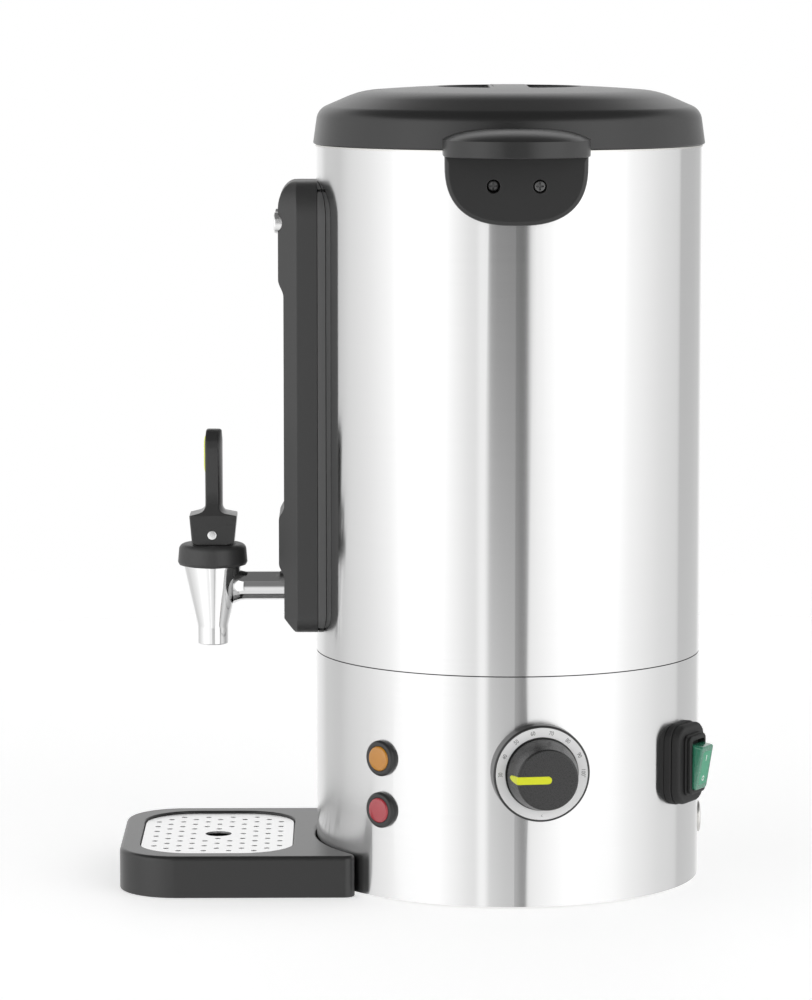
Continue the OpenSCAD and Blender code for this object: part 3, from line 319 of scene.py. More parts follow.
# %% [markdown]
# ## Finishing a piece
# Every piece ends the same way: faces point out, edges that turn sharply stay crisp while
# the rest shades smoothly, and large flat faces keep flat shading up to their radii, which
# the Weighted Normal modifier does. Then it rides on its CAD body and takes the place of
# the plain CAD node.

# %% Finish a piece
CRISP_ANGLE = math.radians(38)
pieces = {}


def piece(bm, name, body, material, replaces=(), place=None):
    """Turns a bmesh in millimetres into a finished piece of the urn."""
    if place:
        moved(bm, place)
    bmesh.ops.scale(bm, vec=(MM, MM, MM), verts=bm.verts)
    bmesh.ops.recalc_face_normals(bm, faces=bm.faces)
    for face in bm.faces:
        face.smooth = True
    for edge in bm.edges:
        edge.smooth = len(edge.link_faces) == 2 and edge.calc_face_angle() < CRISP_ANGLE
    mesh = bpy.data.meshes.new(name)
    bm.to_mesh(mesh)
    bm.free()
    thing = bpy.data.objects.new(name, mesh)
    bpy.context.collection.objects.link(thing)
    thing.data.materials.append(material)
    normals = thing.modifiers.new("flat faces", "WEIGHTED_NORMAL")
    normals.keep_sharp = True
    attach(thing, body)
    if replaces:
        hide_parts(*replaces)
    pieces[name] = thing
    print(f"{name}: {len(mesh.polygons)} faces on {body}")


print("edges that turn by more than", round(math.degrees(CRISP_ANGLE)), "degrees stay crisp")

# %% [markdown]
# ## Materials
# Colours are written as sRGB hex, as a designer reads them off a swatch, and one function
# turns them to the linear values that the renderer needs. Another adds a node with its
# settings and links. All patterns are measured in millimetres on the piece itself, so a
# pattern keeps its real size on every piece.

# %% Colour and node helpers
def linear(hex_colour):
    """An sRGB hex colour as linear RGBA."""
    channels = [int(hex_colour[i:i + 2], 16) / 255 for i in (1, 3, 5)]
    return [c / 12.92 if c <= 0.04045 else ((c + 0.055) / 1.055) ** 2.4 for c in channels] + [1.0]


def add(tree, kind, links=None, **settings):
    """Adds a node. links gives a value or another node's socket for each named input."""
    node = tree.nodes.new(kind)
    for key, value in settings.items():
        setattr(node, key, value)
    for key, value in (links or {}).items():
        if isinstance(value, bpy.types.NodeSocket):
            tree.links.new(value, node.inputs[key])
        else:
            node.inputs[key].default_value = value
    return node


def new_material(name, **shader):
    """A material with one Principled shader. Returns it with its tree and its place in millimetres."""
    material = bpy.data.materials.new(name)
    material.use_nodes = True
    tree = material.node_tree
    tree.nodes.clear()
    principled = add(tree, "ShaderNodeBsdfPrincipled", {k.replace("_", " "): v for k, v in shader.items()})
    add(tree, "ShaderNodeOutputMaterial", {"Surface": principled.outputs["BSDF"]})
    spot = add(tree, "ShaderNodeTexCoord")
    millimetres = add(tree, "ShaderNodeMapping", {"Vector": spot.outputs["Object"], "Scale": [1 / MM] * 3})
    return material, tree, principled, millimetres.outputs["Vector"]


print("steel grey as linear:", [round(c, 3) for c in linear("#c8c8c6")])

# %% [markdown]
# ## Brushed stainless steel
# Sheet for a body like this is brushed along its length before it is rolled, so the fine
# scratches run round the urn. Scratches spread a highlight across their own direction:
# that is why the body shows long upright bands of light. The shader does this with an
# anisotropic gloss: its tangent runs round the axis, and a quarter turn lays the wide side
# of the gloss along the axis. The scratches are about 0.1 mm apart, too fine to show, so
# the streaks are drawn four times as coarse and very faint.

# %% Brushed steel
STREAK = 0.4             # width of a visible streak, mm
STREAK_RUN = 90          # its length, mm
SCRATCH_DEPTH = 0.0006   # mm
UPRIGHT_GLOSS = 0.25     # share of a full turn that lays the wide side of the gloss upright

brushed_steel, tree, shader, place = new_material(
    "brushed stainless steel", Base_Color=linear("#d0d0d0"), Metallic=1.0, Roughness=0.15, Anisotropic=1.0,
    Anisotropic_Rotation=UPRIGHT_GLOSS)
stretch = add(tree, "ShaderNodeMapping", {"Vector": place,
                                          "Scale": (1 / STREAK_RUN, 1 / STREAK_RUN, 1 / STREAK)})
streaks = add(tree, "ShaderNodeTexNoise", {"Vector": stretch.outputs["Vector"], "Scale": 1.0,
                                           "Detail": 4.0, "Roughness": 0.6})
sheen = add(tree, "ShaderNodeMapRange", {"Value": streaks.outputs["Fac"], "From Min": 0.3, "From Max": 0.7,
                                         "To Min": 0.14, "To Max": 0.17})
tree.links.new(sheen.outputs["Result"], shader.inputs["Roughness"])
tint = add(tree, "ShaderNodeMix", {"Factor": streaks.outputs["Fac"]}, data_type="RGBA")
tint.inputs["A"].default_value = linear("#cdcdcd")
tint.inputs["B"].default_value = linear("#d4d4d4")
tree.links.new(tint.outputs["Result"], shader.inputs["Base Color"])
round_axis = add(tree, "ShaderNodeVectorMath", {0: (0, 0, 1), 1: place}, operation="CROSS_PRODUCT")
tangent = add(tree, "ShaderNodeVectorMath", {0: round_axis.outputs["Vector"]}, operation="NORMALIZE")
tree.links.new(tangent.outputs["Vector"], shader.inputs["Tangent"])
scratch = add(tree, "ShaderNodeBump", {"Height": streaks.outputs["Fac"], "Distance": SCRATCH_DEPTH * MM,
                                       "Strength": 1.0})
tree.links.new(scratch.outputs["Normal"], shader.inputs["Normal"])
print("brushed steel: streaks of", STREAK, "by", STREAK_RUN, "mm")

# %% [markdown]
# ## Finishes with an even grain
# All the other finishes have a grain that is the same in every direction: the smear of a
# polishing wheel, the pits of a blasted sheet, or the skin that spark erosion leaves in a
# mould. One noise can make the gloss uneven and raise a little relief. The spread of the
# gloss and the depth of the relief are what tells chrome from turned or blasted steel.
# Most of the grains are under 0.1 mm in reality, so they are drawn a few times as coarse.

# %% Metals
def grained(name, colour, roughness, spread, scale, detail=2.0, depth=0.0, strength=1.0, **values):
    """A finish whose grain has a scale per mm, with a spread of its gloss and a relief of a depth in mm."""
    values.update(Base_Color=linear(colour), Roughness=roughness)
    material, tree, shader, place = new_material(name, **values)
    grain = add(tree, "ShaderNodeTexNoise", {"Vector": place, "Scale": scale, "Detail": detail})
    if spread:
        gloss = add(tree, "ShaderNodeMapRange", {
            "Value": grain.outputs["Fac"], "From Min": 0.3, "From Max": 0.7,
            "To Min": roughness - spread, "To Max": roughness + spread})
        tree.links.new(gloss.outputs["Result"], shader.inputs["Roughness"])
    if depth:
        relief = add(tree, "ShaderNodeBump", {"Height": grain.outputs["Fac"], "Distance": depth * MM,
                                              "Strength": strength})
        tree.links.new(relief.outputs["Normal"], shader.inputs["Normal"])
    return material


# a soft sheen without an image
satin_steel = grained("satin stainless steel", "#cccbc8", 0.34, 0.05, 1.2, 3.0, Metallic=1.0)
# bright and even, because the pits break up every image
blasted_steel = grained("bead-blasted stainless steel", "#f2f2f2", 0.34, 0, 2.5, depth=0.01, strength=0.6,
                        Metallic=1.0)
# a mirror with a faint smear
polished_steel = grained("polished chrome plate", "#dcdcdc", 0.09, 0.03, 0.15, Metallic=1.0)
# dark and dull
screw_steel = grained("black oxide screw steel", "#6a6a6a", 0.42, 0.06, 1.5, 3.0, Metallic=1.0)
# light, with a broad highlight
bright_steel = grained("bright turned steel", "#e8e8e8", 0.3, 0.06, 2.0, Metallic=1.0)
# a pale ground for the numbers
pale_ring = grained("satin anodised ring", "#ededed", 0.45, 0, 3.0, depth=0.004, strength=0.5, Metallic=0.2)
print("metals:", satin_steel.name, blasted_steel.name, polished_steel.name, bright_steel.name)

# %% [markdown]
# ## Moulded plastics
# The black parts are ABS and nylon from textured moulds, whose tiny pits take the mirror out
# of the gloss and leave a soft dark grey under studio light. Knob, bezels and tray come from
# finer polished moulds. Rubber is duller still, and silicone is milky.

# %% Plastics
def moulded(name, colour, roughness, size, depth):
    """A moulded plastic or rubber with a grain of a size and a depth in mm."""
    return grained(name, colour, roughness, 0.04, 1 / size, depth=depth, IOR=1.5)


black_abs = moulded("textured black ABS", "#212121", 0.33, 0.3, 0.004)
matt_abs = moulded("matt black ABS", "#353535", 0.45, 0.4, 0.008)
# black ABS with a real matt finish; its grey colour is painted sheen, standing for the lighter look of the
# rounded rear strip
sheen_painted_abs = moulded("matt black ABS with painted sheen", "#545454", 0.5, 0.4, 0.008)
lever_abs = moulded("fine black ABS", "#303030", 0.3, 0.3, 0.003)
knob_abs = moulded("satin black ABS knob", "#242424", 0.28, 0.4, 0.002)
black_nylon = moulded("fine black nylon", "#2c2c2c", 0.32, 0.4, 0.003)
tray_abs = moulded("satin black ABS", "#2a2a2a", 0.32, 0.5, 0.003)
black_rubber = moulded("matt black rubber", "#1b1b1b", 0.65, 0.6, 0.01)
seal_silicone = moulded("white silicone", "#d9d9d4", 0.5, 0.8, 0.005)
lime_abs = moulded("lime green ABS", "#e2e815", 0.35, 0.4, 0.003)
scale_ink = moulded("grey scale ink", "#6c6c6c", 0.5, 0.5, 0.001)
white_ink = moulded("white ink", "#f2f5f3", 0.5, 0.5, 0.001)
bright_green = moulded("bright green polycarbonate", "#3ca47c", 0.3, 0.4, 0.001)
dark_resin = moulded("phenolic resin", "#33302c", 0.5, 0.7, 0.01)
print("plastics:", black_abs.name, black_nylon.name, lime_abs.name)

# %% [markdown]
# ## Lenses and glass
# Lamp lenses and the rocker are dyed acrylic and polycarbonate. With the lamps off, a lens
# shows its own dye, lit from outside, so most of the look is colour under a glossy skin
# with a little light let through. The gauge tube is clear borosilicate glass.

# %% Lenses and glass
def dyed(name, colour, roughness):
    """A dyed clear plastic that lets a little light through."""
    return grained(name, colour, roughness, 0.03, 0.8, IOR=1.49, Transmission_Weight=0.1, Coat_Weight=0.5,
                   Coat_Roughness=0.05)


amber_acrylic = dyed("amber acrylic", "#d58f28", 0.22)
red_acrylic = dyed("red acrylic", "#be3e48", 0.22)
green_polycarbonate = dyed("green polycarbonate", "#3c8d6f", 0.25)
clear_glass = grained("borosilicate glass", "#f4f8f6", 0.025, 0.015, 0.1, IOR=1.474, Transmission_Weight=1.0)
print("lenses:", amber_acrylic.name, red_acrylic.name, green_polycarbonate.name, clear_glass.name)

# %% [markdown]
# ## Dressing the CAD nodes
# Parts whose CAD shape is already right keep it and only get a finish: the sheet metal
# walls, which are plain cylinders, and what is hidden inside. The other nodes are replaced
# by the pieces below.

# %% Finishes of the CAD nodes
FINISHES = {
    brushed_steel: ["outer_wall", "base_shell"],
    satin_steel: ["inner_tank", "support_ring", "bottom_plate", "element_plate", "element_terminals",
                  "lid_liner", "handle_nuts", "tank_nut", "gauge_fitting", "tap_spring", "tap_stem",
                  "thermostat_shaft"],
    black_nylon: ["gauge_cap"],
    black_rubber: ["seam_gasket", "feet"],
    seal_silicone: ["lid_seal", "gauge_seals", "tank_washer", "seat_cup"],
    dark_resin: ["thermal_cutout", "thermostat_body", "lamp_bodies"],
    clear_glass: ["gauge_tube"],
}
for finish, nodes in FINISHES.items():
    for node in nodes:
        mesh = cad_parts[node].data
        mesh.materials.clear()
        mesh.materials.append(finish)
replaced_later = set(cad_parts) - {node for nodes in FINISHES.values() for node in nodes}
print("nodes that pieces below replace:", len(replaced_later))

# %% [markdown]
# ## Lid
# The lid is one deep moulding: a shallow dome that bends down into a sloping border, a tight
# round edge and a skirt that leans in a little so that it leaves its mould. The shell is spun
# as a section with its wall. The section is a row of arcs that meet without a kink, so the
# centre of each arc is worked out from the one before it.

# %% The lid's section
lid_low, lid_high = box_mm("lid")
LID_WALL = 3.0
DOME_R = 1000.0
BEND_R = 50.0
BEND_REACH = 75.7      # where the dome starts to bend down
BORDER_SLOPE = math.radians(23.5)
EDGE_R = 9.0
SKIRT_LEAN = 2.0
SKIRT_ANGLE = math.radians(8)
UPRIGHT = math.pi / 2
lid_r = lid_high.x
foot_z = lid_low.z

dome_end = math.asin(BEND_REACH / DOME_R)
bend = Vector((BEND_REACH - BEND_R * math.sin(dome_end),
               lid_high.z - DOME_R * (1 - math.cos(dome_end)) - BEND_R * math.cos(dome_end)))
edge_x = lid_r - SKIRT_LEAN - EDGE_R * math.cos(SKIRT_ANGLE)
border_run = edge_x - bend.x - (BEND_R - EDGE_R) * math.sin(BORDER_SLOPE)
edge_z = bend.y + (BEND_R - EDGE_R) * math.cos(BORDER_SLOPE) - border_run * math.tan(BORDER_SLOPE)


def dome_z(x, y, depth=0.0):
    """Height of the dome over a point, less a depth."""
    return lid_high.z - DOME_R + math.sqrt((DOME_R - depth) ** 2 - x * x - y * y)


def lid_section(depth):
    """The outside of the lid from the skirt's top to the middle, moved inwards by a depth."""
    line = arc((edge_x, edge_z), EDGE_R - depth, SKIRT_ANGLE, UPRIGHT - BORDER_SLOPE, 8)
    line += arc(bend, BEND_R - depth, UPRIGHT - BORDER_SLOPE, UPRIGHT - dome_end, 7)
    flat_r = line[-1][0]
    return line + [(flat_r * k / 7, dome_z(flat_r * k / 7, 0, depth)) for k in range(6, -1, -1)]


print("the lid's border falls to", round(edge_z, 1), "mm")

# %% [markdown]
# ## Wells in the lid
# Two half-moon wells on either side of a bridge make the grip, and a short slot lets steam
# out. They are cut with flared cutters whose rims follow the dome, so that each rim has the
# same radius all round. A plug of solid material under the dome gives the wells their walls.

# %% The lid
WELL_R, WELL_CORNER, WELL_RIM = 40.75, 2.5, 1.4
WELL_FLOOR = lid_high.z - 21
WELL_FOOT_R = 2.0
BRIDGE = 21.5
STEAM_REACH, STEAM_W, STEAM_L, STEAM_RIM = 79.0, 4.0, 15.0, 0.7


def on_dome(outline, rise):
    """Sets an outline at a rise over the dome."""
    return [(x, y, dome_z(x, y) + rise) for x, y in outline]


def dome_cutter(outline, floor, rim):
    """A cutter through the dome whose flared mouth follows it."""
    return loft(foot_edge(outline, along_z, floor, WELL_FOOT_R, 3) + rim_edge(outline, on_dome, 0, rim)
                + [along_z(grown(outline, rim), lid_high.z + CUT_PAST)])


half_bridge = BRIDGE / 2
corner_x = math.sqrt(WELL_R ** 2 - half_bridge ** 2)
moon = rounded([(-corner_x, half_bridge, WELL_CORNER), (corner_x, half_bridge, WELL_CORNER)]
               + arc((0, 0), WELL_R, math.radians(26), math.radians(154), 32))
steam_slot = round_rect(STEAM_W, STEAM_L, STEAM_W / 2 - 0.01, centre=(0, -STEAM_REACH))

outer, inner = lid_section(0), lid_section(LID_WALL)
plug_r, plug_z = WELL_R + LID_WALL, WELL_FLOOR - LID_WALL
inner_top = [point for point in inner if point[0] > plug_r + 2]
skirt = rounded([inner[0], (lid_r - LID_WALL, foot_z, 0.8), (lid_r, foot_z, 0.8), outer[0]],
                closed=False, steps=3)
section = skirt[1:-1] + outer + [(0, plug_z), (plug_r, plug_z), (plug_r, dome_z(plug_r, 0, LID_WALL))]
shell = spun(section + inner_top[::-1], turns=144)
moons = [moved(dome_cutter(moon, WELL_FLOOR, WELL_RIM), Matrix.Rotation(turn, 4, "Z"))
         for turn in (0, math.pi)]
slot_cutter = dome_cutter(steam_slot, foot_z - 5, STEAM_RIM)
piece(cut(shell, moons + [slot_cutter]), "lid_moulding", "lid", black_abs, replaces=["lid"])

# %% [markdown]
# ## Side handles
# Each handle is one moulding with two parts. A lip, half round in plan and crowned on top,
# gives the fingers an edge to pull on, and is hollow underneath. Below it a plate with a
# full rounded outline lies on the wall and takes the two screws. The crown rises from the
# lip's edge in ever smaller outlines, steep at first and then flat, which gives the crisp
# line along its front and the round shoulders at its ends.

# %% Handle sizes and outlines
handle_high = box_mm("handle_right")[1]
LIP_BAND = 9.0
LIP_CROWN = 6.0
LIP_FOOT = handle_high.z - LIP_CROWN - LIP_BAND
LIP_HALF = handle_high.y
LIP_FRONT = handle_high.x
LIP_CORNER = 36.0
LIP_BACK_R = lid_r + 1.6       # the lip's back follows the lid with a small gap
LIP_MIDDLE = 116.0             # the crown closes in on this distance from the axis
LIP_EDGE = 0.8
CROWN_START = 25.0             # degrees of the crown's quarter turn that the crisp line leaves out
CROWN_IN = 30.0
POCKET_WALL = 4.0
POCKET_DEPTH = 5.0
PLATE_X = body_r + 8
PLATE_HALF = 38.7
PLATE_DROP = 37.4
PLATE_STRAIGHT = 3.4
PLATE_EDGE = 2.5
PLATE_FULLNESS = 2.6           # 2 would make the lower outline an ellipse, and more is squarer
PLATE_LAP = 3.0                # how far the plate runs up into the lip


def backed_outline(half, front, corner, back_r, steps):
    """An outline in plan with two round front corners and a hollow back that fits a round body."""
    back = math.asin(half / back_r)
    back_x = back_r * math.cos(back)
    line = rounded([(back_x, -half), (front, -half, corner), (front, half, corner), (back_x, half)],
                   steps=steps)
    return line + arc((0, 0), back_r, back * 5 / 6, -back * 5 / 6, 10)


def lip_outline(inset, back_r):
    """The lip in plan."""
    return backed_outline(LIP_HALF - inset, LIP_FRONT - inset, LIP_CORNER - inset, back_r, 14)


def plate_outline():
    """Rounded lower outline in Y and Z, between an ellipse and a rectangle, closed at the top."""
    drop, top = PLATE_DROP - PLATE_STRAIGHT, LIP_FOOT - PLATE_STRAIGHT
    line = [(-PLATE_HALF, LIP_FOOT + PLATE_LAP)]
    for a in even(math.pi, math.tau, 36):
        line.append((PLATE_HALF * math.copysign(abs(math.cos(a)) ** (2 / PLATE_FULLNESS), math.cos(a)),
                     top - drop * abs(math.sin(a)) ** (2 / PLATE_FULLNESS)))
    return line + [(PLATE_HALF, LIP_FOOT + PLATE_LAP)]


print("lip reaches", round(LIP_FRONT - body_r, 1), "mm from the wall, foot at", round(LIP_FOOT, 1))

# %% Both handles
SCREW_Z = LIP_FOOT - 16
SCREW_Y = 12.5
SCREW_SINK = {-1: 5.0, 1: 1.0}      # one screw lies deep in its well and the other nearly flush
HEAD_R, HEAD_H, HEAD_GAP = 3.4, 2.6, 0.3


def lip_shape():
    """The lip of a handle that faces +X."""
    outline = lip_outline(0, LIP_BACK_R)
    band_top = LIP_FOOT + LIP_BAND
    loops = foot_edge(outline, along_z, LIP_FOOT, LIP_EDGE, 2) + [along_z(outline, band_top - 0.4)]
    first = math.radians(CROWN_START)
    for a in quarter(9, low=CROWN_START):
        rise = LIP_CROWN * (math.sin(a) - math.sin(first)) / (1 - math.sin(first))
        inset = CROWN_IN * (math.cos(first) - math.cos(a)) / math.cos(first)
        share = 1 - inset / LIP_HALF
        crown = [(LIP_MIDDLE + share * (x - LIP_MIDDLE), share * y) for x, y in outline]
        loops.append(along_z(crown, band_top + rise))
    pocket = mouth(lip_outline(POCKET_WALL, PLATE_X + 2.5), along_z_down, -LIP_FOOT - POCKET_DEPTH,
                   -LIP_FOOT, 0.6)
    return cut(loft(loops), [pocket])


def plate_shape():
    """The plate of a handle that faces +X, with its screw wells."""
    outline = plate_outline()
    plate = loft([on_wall(outline)] + top_edge(outline, along_x, PLATE_X, PLATE_EDGE, 5))
    wells = [mouth(circle(HEAD_R + HEAD_GAP, 32, (side * SCREW_Y, SCREW_Z)), along_x, PLATE_X - sink - HEAD_H,
                   PLATE_X, HEAD_GAP) for side, sink in SCREW_SINK.items()]
    return cut(plate, wells)


for side, angle in (("right", 0), ("left", 180)):
    piece(joined(lip_shape(), plate_shape()), f"handle_{side}_moulding", "urn", black_abs,
          replaces=[f"handle_{side}"], place=facing(angle))

# %% [markdown]
# ## Handle screws
# Pan heads with a cross recess, turned as a profile. The recess is cut with one plus-shaped
# cutter, because two crossing cutters would share a floor, which a boolean handles badly.

# %% Handle screws
SHANK_R, SHANK_L = 1.9, 6.0
CROSS_L, CROSS_W, CROSS_DEPTH, CROSS_CORNER = 1.3 * HEAD_R, 1.0, 2.0, 0.1


def cross_outline(length, width):
    """A plus shape, counter-clockwise, with softened ends."""
    arm, half = length / 2, width / 2
    corners = []
    for c, s in ((1, 0), (0, 1), (-1, 0), (0, -1)):
        corners += [(c * arm + s * half, s * arm - c * half, CROSS_CORNER),
                    (c * arm - s * half, s * arm + c * half, CROSS_CORNER), (half * (c - s), half * (s + c))]
    return rounded(corners, steps=1)


def screw_head():
    """A screw along X with its seat at x = 0."""
    turned = turned_x([(0, -SHANK_L), (SHANK_R, -SHANK_L), (SHANK_R, 0), (HEAD_R, 0),
                       (HEAD_R, HEAD_H, HEAD_H * 0.45), (0, HEAD_H)], turns=40, closed=False)
    return cut(turned, [bar(cross_outline(CROSS_L, CROSS_W), along_x, HEAD_H - CROSS_DEPTH, HEAD_H + 1)])


heads = [moved(screw_head(), facing(angle, PLATE_X - sink - HEAD_H, SCREW_Z)
               @ Matrix.Translation((0, side * SCREW_Y, 0)))
         for angle in (0, 180) for side, sink in SCREW_SINK.items()]
piece(joined(*heads), "handle_screw_heads", "urn", screw_steel, replaces=["handle_screws"])

# %% [markdown]
# ## Gauge column
# The front cover is a long moulding with a flat facet down each side, so that every level
# cut through it is a rectangle with its front corners cut off. The silhouette changes along
# its height: a facet at the foot, a raised pad for the pipe, and an upper pad that runs out
# into a rounded top. Lofting the level sections gives all of it in one shell.

# %% Column sizes and sections
cover_low, cover_high = box_mm("column_cover")
COLUMN_HALF = cover_high.x
COLUMN_FOOT = cover_low.z + 2.4
COLUMN_TOP = cover_high.z
PAD_X = -cover_low.y
GROOVE_X = -cover_high.y
PAD_H = 3.0
COVER_X = PAD_X - PAD_H
FACET_D, FACET_W = 7.4, 8.0
FOOT_D, FOOT_H = 6.4, 8.2
CROWN_H = 15.4
FOOT_CORNER, TOP_CORNER = 12.0, 20.0
SIDE_EDGE, FRONT_EDGE, GROOVE_EDGE = 0.9, 1.1, 0.4
SLOPES = [(COLUMN_FOOT + 31.1, 0), (COLUMN_FOOT + 38.8, 1), (COLUMN_FOOT + 63.8, 1),
          (COLUMN_FOOT + 71.5, 0), (COLUMN_TOP - 64.3, 0), (COLUMN_TOP - 54.8, 1)]


def pad_rise(z):
    """Share of the pads' height at a level, with smooth slopes between the flats."""
    for (low, first), (high, last) in zip(SLOPES, SLOPES[1:]):
        if low <= z <= high:
            return first + (last - first) * (1 - math.cos(math.pi * (z - low) / (high - low))) / 2
    return 1 if z > SLOPES[-1][0] else 0


def column_half(z):
    """Half width of the column at a level, with its rounded corners."""
    for rest, corner in ((z - COLUMN_FOOT, FOOT_CORNER), (COLUMN_TOP - z, TOP_CORNER)):
        if rest < corner:
            return COLUMN_HALF + math.sqrt(corner ** 2 - (corner - rest) ** 2) - corner
    return COLUMN_HALF


def cover_section(z):
    """The cover's outline in plan at a level, with softened corners."""
    half, front = column_half(z), COVER_X + PAD_H * pad_rise(z)
    edge, steep = COVER_X - FACET_D, FACET_W / FACET_D
    over_foot, under_top = z - COLUMN_FOOT, COLUMN_TOP - z
    if over_foot < FOOT_H:
        front = COVER_X - FOOT_D * (1 - over_foot / FOOT_H)
    if under_top < CROWN_H:
        front = edge + (PAD_X - edge) * math.sqrt(1 - (1 - under_top / CROWN_H) ** 2)
    side_x = min(edge, front - 0.8)
    front_half = half - max(steep * (front - edge), 0.8)
    return rounded([(GROOVE_X, -half, GROOVE_EDGE), (side_x, -half, SIDE_EDGE),
                    (front, -front_half, FRONT_EDGE), (front, front_half, FRONT_EDGE),
                    (side_x, half, SIDE_EDGE), (GROOVE_X, half, GROOVE_EDGE)], steps=4)


levels = {COLUMN_FOOT + FOOT_CORNER * (1 - math.cos(a)) for a in quarter(6)}
levels |= {COLUMN_FOOT + FOOT_H, COLUMN_FOOT + FOOT_H + 0.7}
levels |= {COLUMN_TOP - TOP_CORNER * (1 - math.cos(a)) for a in quarter(12)}
for (low, _), (high, _) in zip(SLOPES[0::2], SLOPES[1::2]):
    levels |= {low + (high - low) * k / 7 for k in range(8)}
levels = sorted(levels)
print("column sections:", len(levels))

# %% [markdown]
# ## Openings of the cover
# The room behind the cover, the sight slot in front of the tube, the pipe's hole and the
# two screw wells are real openings, so they are cut, each with a soft rim.

# %% Gauge column cover
PIPE_Z = 166.0
CAP_Z = COLUMN_TOP - 23
CAP_Y = 20.0
CAP_R, CAP_H, CAP_EDGE, CAP_GAP = 6.0, 4.6, 0.9, 0.3
CAP_SHANK_R, CAP_SHANK_L = 3.0, 6.0
CAP_SEAT = PAD_X - 2.4
ROOM_W, ROOM_L, ROOM_CORNER, ROOM_EDGE = 54, 236, 8, 2
COVER_WALL = 4.2
SIGHT_W, SIGHT_L, SIGHT_Z, SIGHT_RIM = 13, 104, 271, 1.3
PIPE_HOLE_R, PIPE_HOLE_RIM = 8.5, 0.6
COVER_CUT = 8.0       # how deep the cutters of the slot and the hole go in

column_middle = (COLUMN_FOOT + COLUMN_TOP) / 2
loops = [along_z(grown(cover_section(levels[0]), -0.4), levels[0])]
loops += [along_z(cover_section(z), z) for z in [levels[0] + 0.3] + levels[1:-1]]
loops += [along_z(grown(cover_section(levels[-1]), -0.1), levels[-1] - 0.02)]
room_line = round_rect(ROOM_W, ROOM_L, ROOM_CORNER, centre=(0, column_middle))
room = loft([along_x(room_line, GROOVE_X - CUT_PAST)]
            + top_edge(room_line, along_x, COVER_X - COVER_WALL, ROOM_EDGE, 4))
slot = round_rect(SIGHT_W, SIGHT_L, SIGHT_W / 2 - 0.01, centre=(0, SIGHT_Z))
cutters = [room, mouth(slot, along_x, COVER_X - COVER_CUT, COVER_X, SIGHT_RIM),
           mouth(circle(PIPE_HOLE_R, 48, (0, PIPE_Z)), along_x, COVER_X - COVER_CUT, COVER_X, PIPE_HOLE_RIM)]
cutters += [mouth(circle(CAP_R + CAP_GAP, 40, (side * CAP_Y, CAP_Z)), along_x, CAP_SEAT, PAD_X, CAP_GAP)
            for side in (-1, 1)]
piece(cut(loft(loops), cutters), "column_cover_moulding", "urn", matt_abs,
      replaces=["column_cover"], place=facing(TAP_SIDE))

# %% [markdown]
# ## Cover screws and column back
# Two bright cap screws with a hexagon socket hold the cover. The rear half of the column is
# seen only as a strip between the cover and the wall. It is lofted from sections with a
# hollow back, at the cover's own levels, so that both halves round off together.

# %% Cover screws
SOCKET_R, SOCKET_FLOOR = 2.3, 2.4


def cap_screw():
    """A cap screw along X with its seat at x = 0."""
    turned = turned_x([(0, -CAP_SHANK_L), (CAP_SHANK_R, -CAP_SHANK_L), (CAP_SHANK_R, 0), (CAP_R, 0),
                       (CAP_R, CAP_H, CAP_EDGE), (0, CAP_H)], turns=48, closed=False)
    return cut(turned, [moved(bar(circle(SOCKET_R, 6), along_z, SOCKET_FLOOR, CAP_H + 1.4), LIE_ON_X)])


caps = [moved(cap_screw(), facing(TAP_SIDE, CAP_SEAT, CAP_Z) @ Matrix.Translation((0, side * CAP_Y, 0)))
        for side in (-1, 1)]
piece(joined(*caps), "cover_screws", "urn", bright_steel, replaces=["gauge_screw"])

# %% Gauge column back
BACK_GAP, BACK_EDGE = 0.15, 0.35
BACK_FOOT, BACK_TOP = COLUMN_FOOT + 0.05, COLUMN_TOP - 0.4

back_levels = [BACK_FOOT] + [z for z in levels if BACK_FOOT < z < BACK_TOP - 0.05] + [BACK_TOP]
back = loft([along_z(backed_outline(column_half(z), GROOVE_X - BACK_GAP, BACK_EDGE, seat_r, 4), z)
             for z in back_levels])
# the strip's lighter grey is painted sheen on black ABS, not a grey plastic
piece(back, "column_back_moulding", "urn", sheen_painted_abs, replaces=["column_back"],
      place=facing(TAP_SIDE))

# %% [markdown]
# ## Tap
# The tap's body is one polished casting: a cone that tapers down to a short spout, and a
# pipe that widens where it runs into the cone, as a fillet does. Both are turned shapes,
# joined by a boolean union. A black bonnet closes the cone.

# %% Tap body
collar_low, collar_high = box_mm("tap_collar")
TAP_X = -(collar_low.y + collar_high.y) / 2
SPOUT_TIP = box_mm("tap_body")[0].z
CONE_FOOT = SPOUT_TIP + 10.3
CONE_TOP = CONE_FOOT + 35
BORE_TOP = SPOUT_TIP + 18
CONE_R, SPOUT_R, BORE_R = 16.5, 8.6, 6.4
NECK_R, NECK_H = CONE_R - 2, 6.0
PIPE_R, PIPE_START = 8.3, GROOVE_X + 12
FLARE = [(0, -5), (0.15, -3.5), (0.45, -2), (1.0, -0.5), (1.7, 1), (2.2, 2)]    # growth, place from the cone

cone = spun(rounded(
    [(0, BORE_TOP), (BORE_R, BORE_TOP), (BORE_R, SPOUT_TIP, 0.5), (SPOUT_R, SPOUT_TIP, 0.7),
     (SPOUT_R, CONE_FOOT, 6), (CONE_R - 0.2, CONE_TOP - 1.2, 1.5), (CONE_R, CONE_TOP, 0.5),
     (NECK_R, CONE_TOP), (NECK_R, CONE_TOP + NECK_H), (0, CONE_TOP + NECK_H)],
    closed=False, steps=6), turns=96)
cone_r = SPOUT_R + (CONE_R - SPOUT_R) * (PIPE_Z - CONE_FOOT) / (CONE_TOP - CONE_FOOT)
pipe_l = TAP_X - cone_r - PIPE_START
flare = [(PIPE_R + wider, pipe_l + along) for wider, along in FLARE]
pipe = turned_x([(0, 0), (PIPE_R, 0)] + flare + [(0, pipe_l + 2)], turns=72, closed=False)
moved(pipe, Matrix.Translation((PIPE_START - TAP_X, 0, PIPE_Z)))
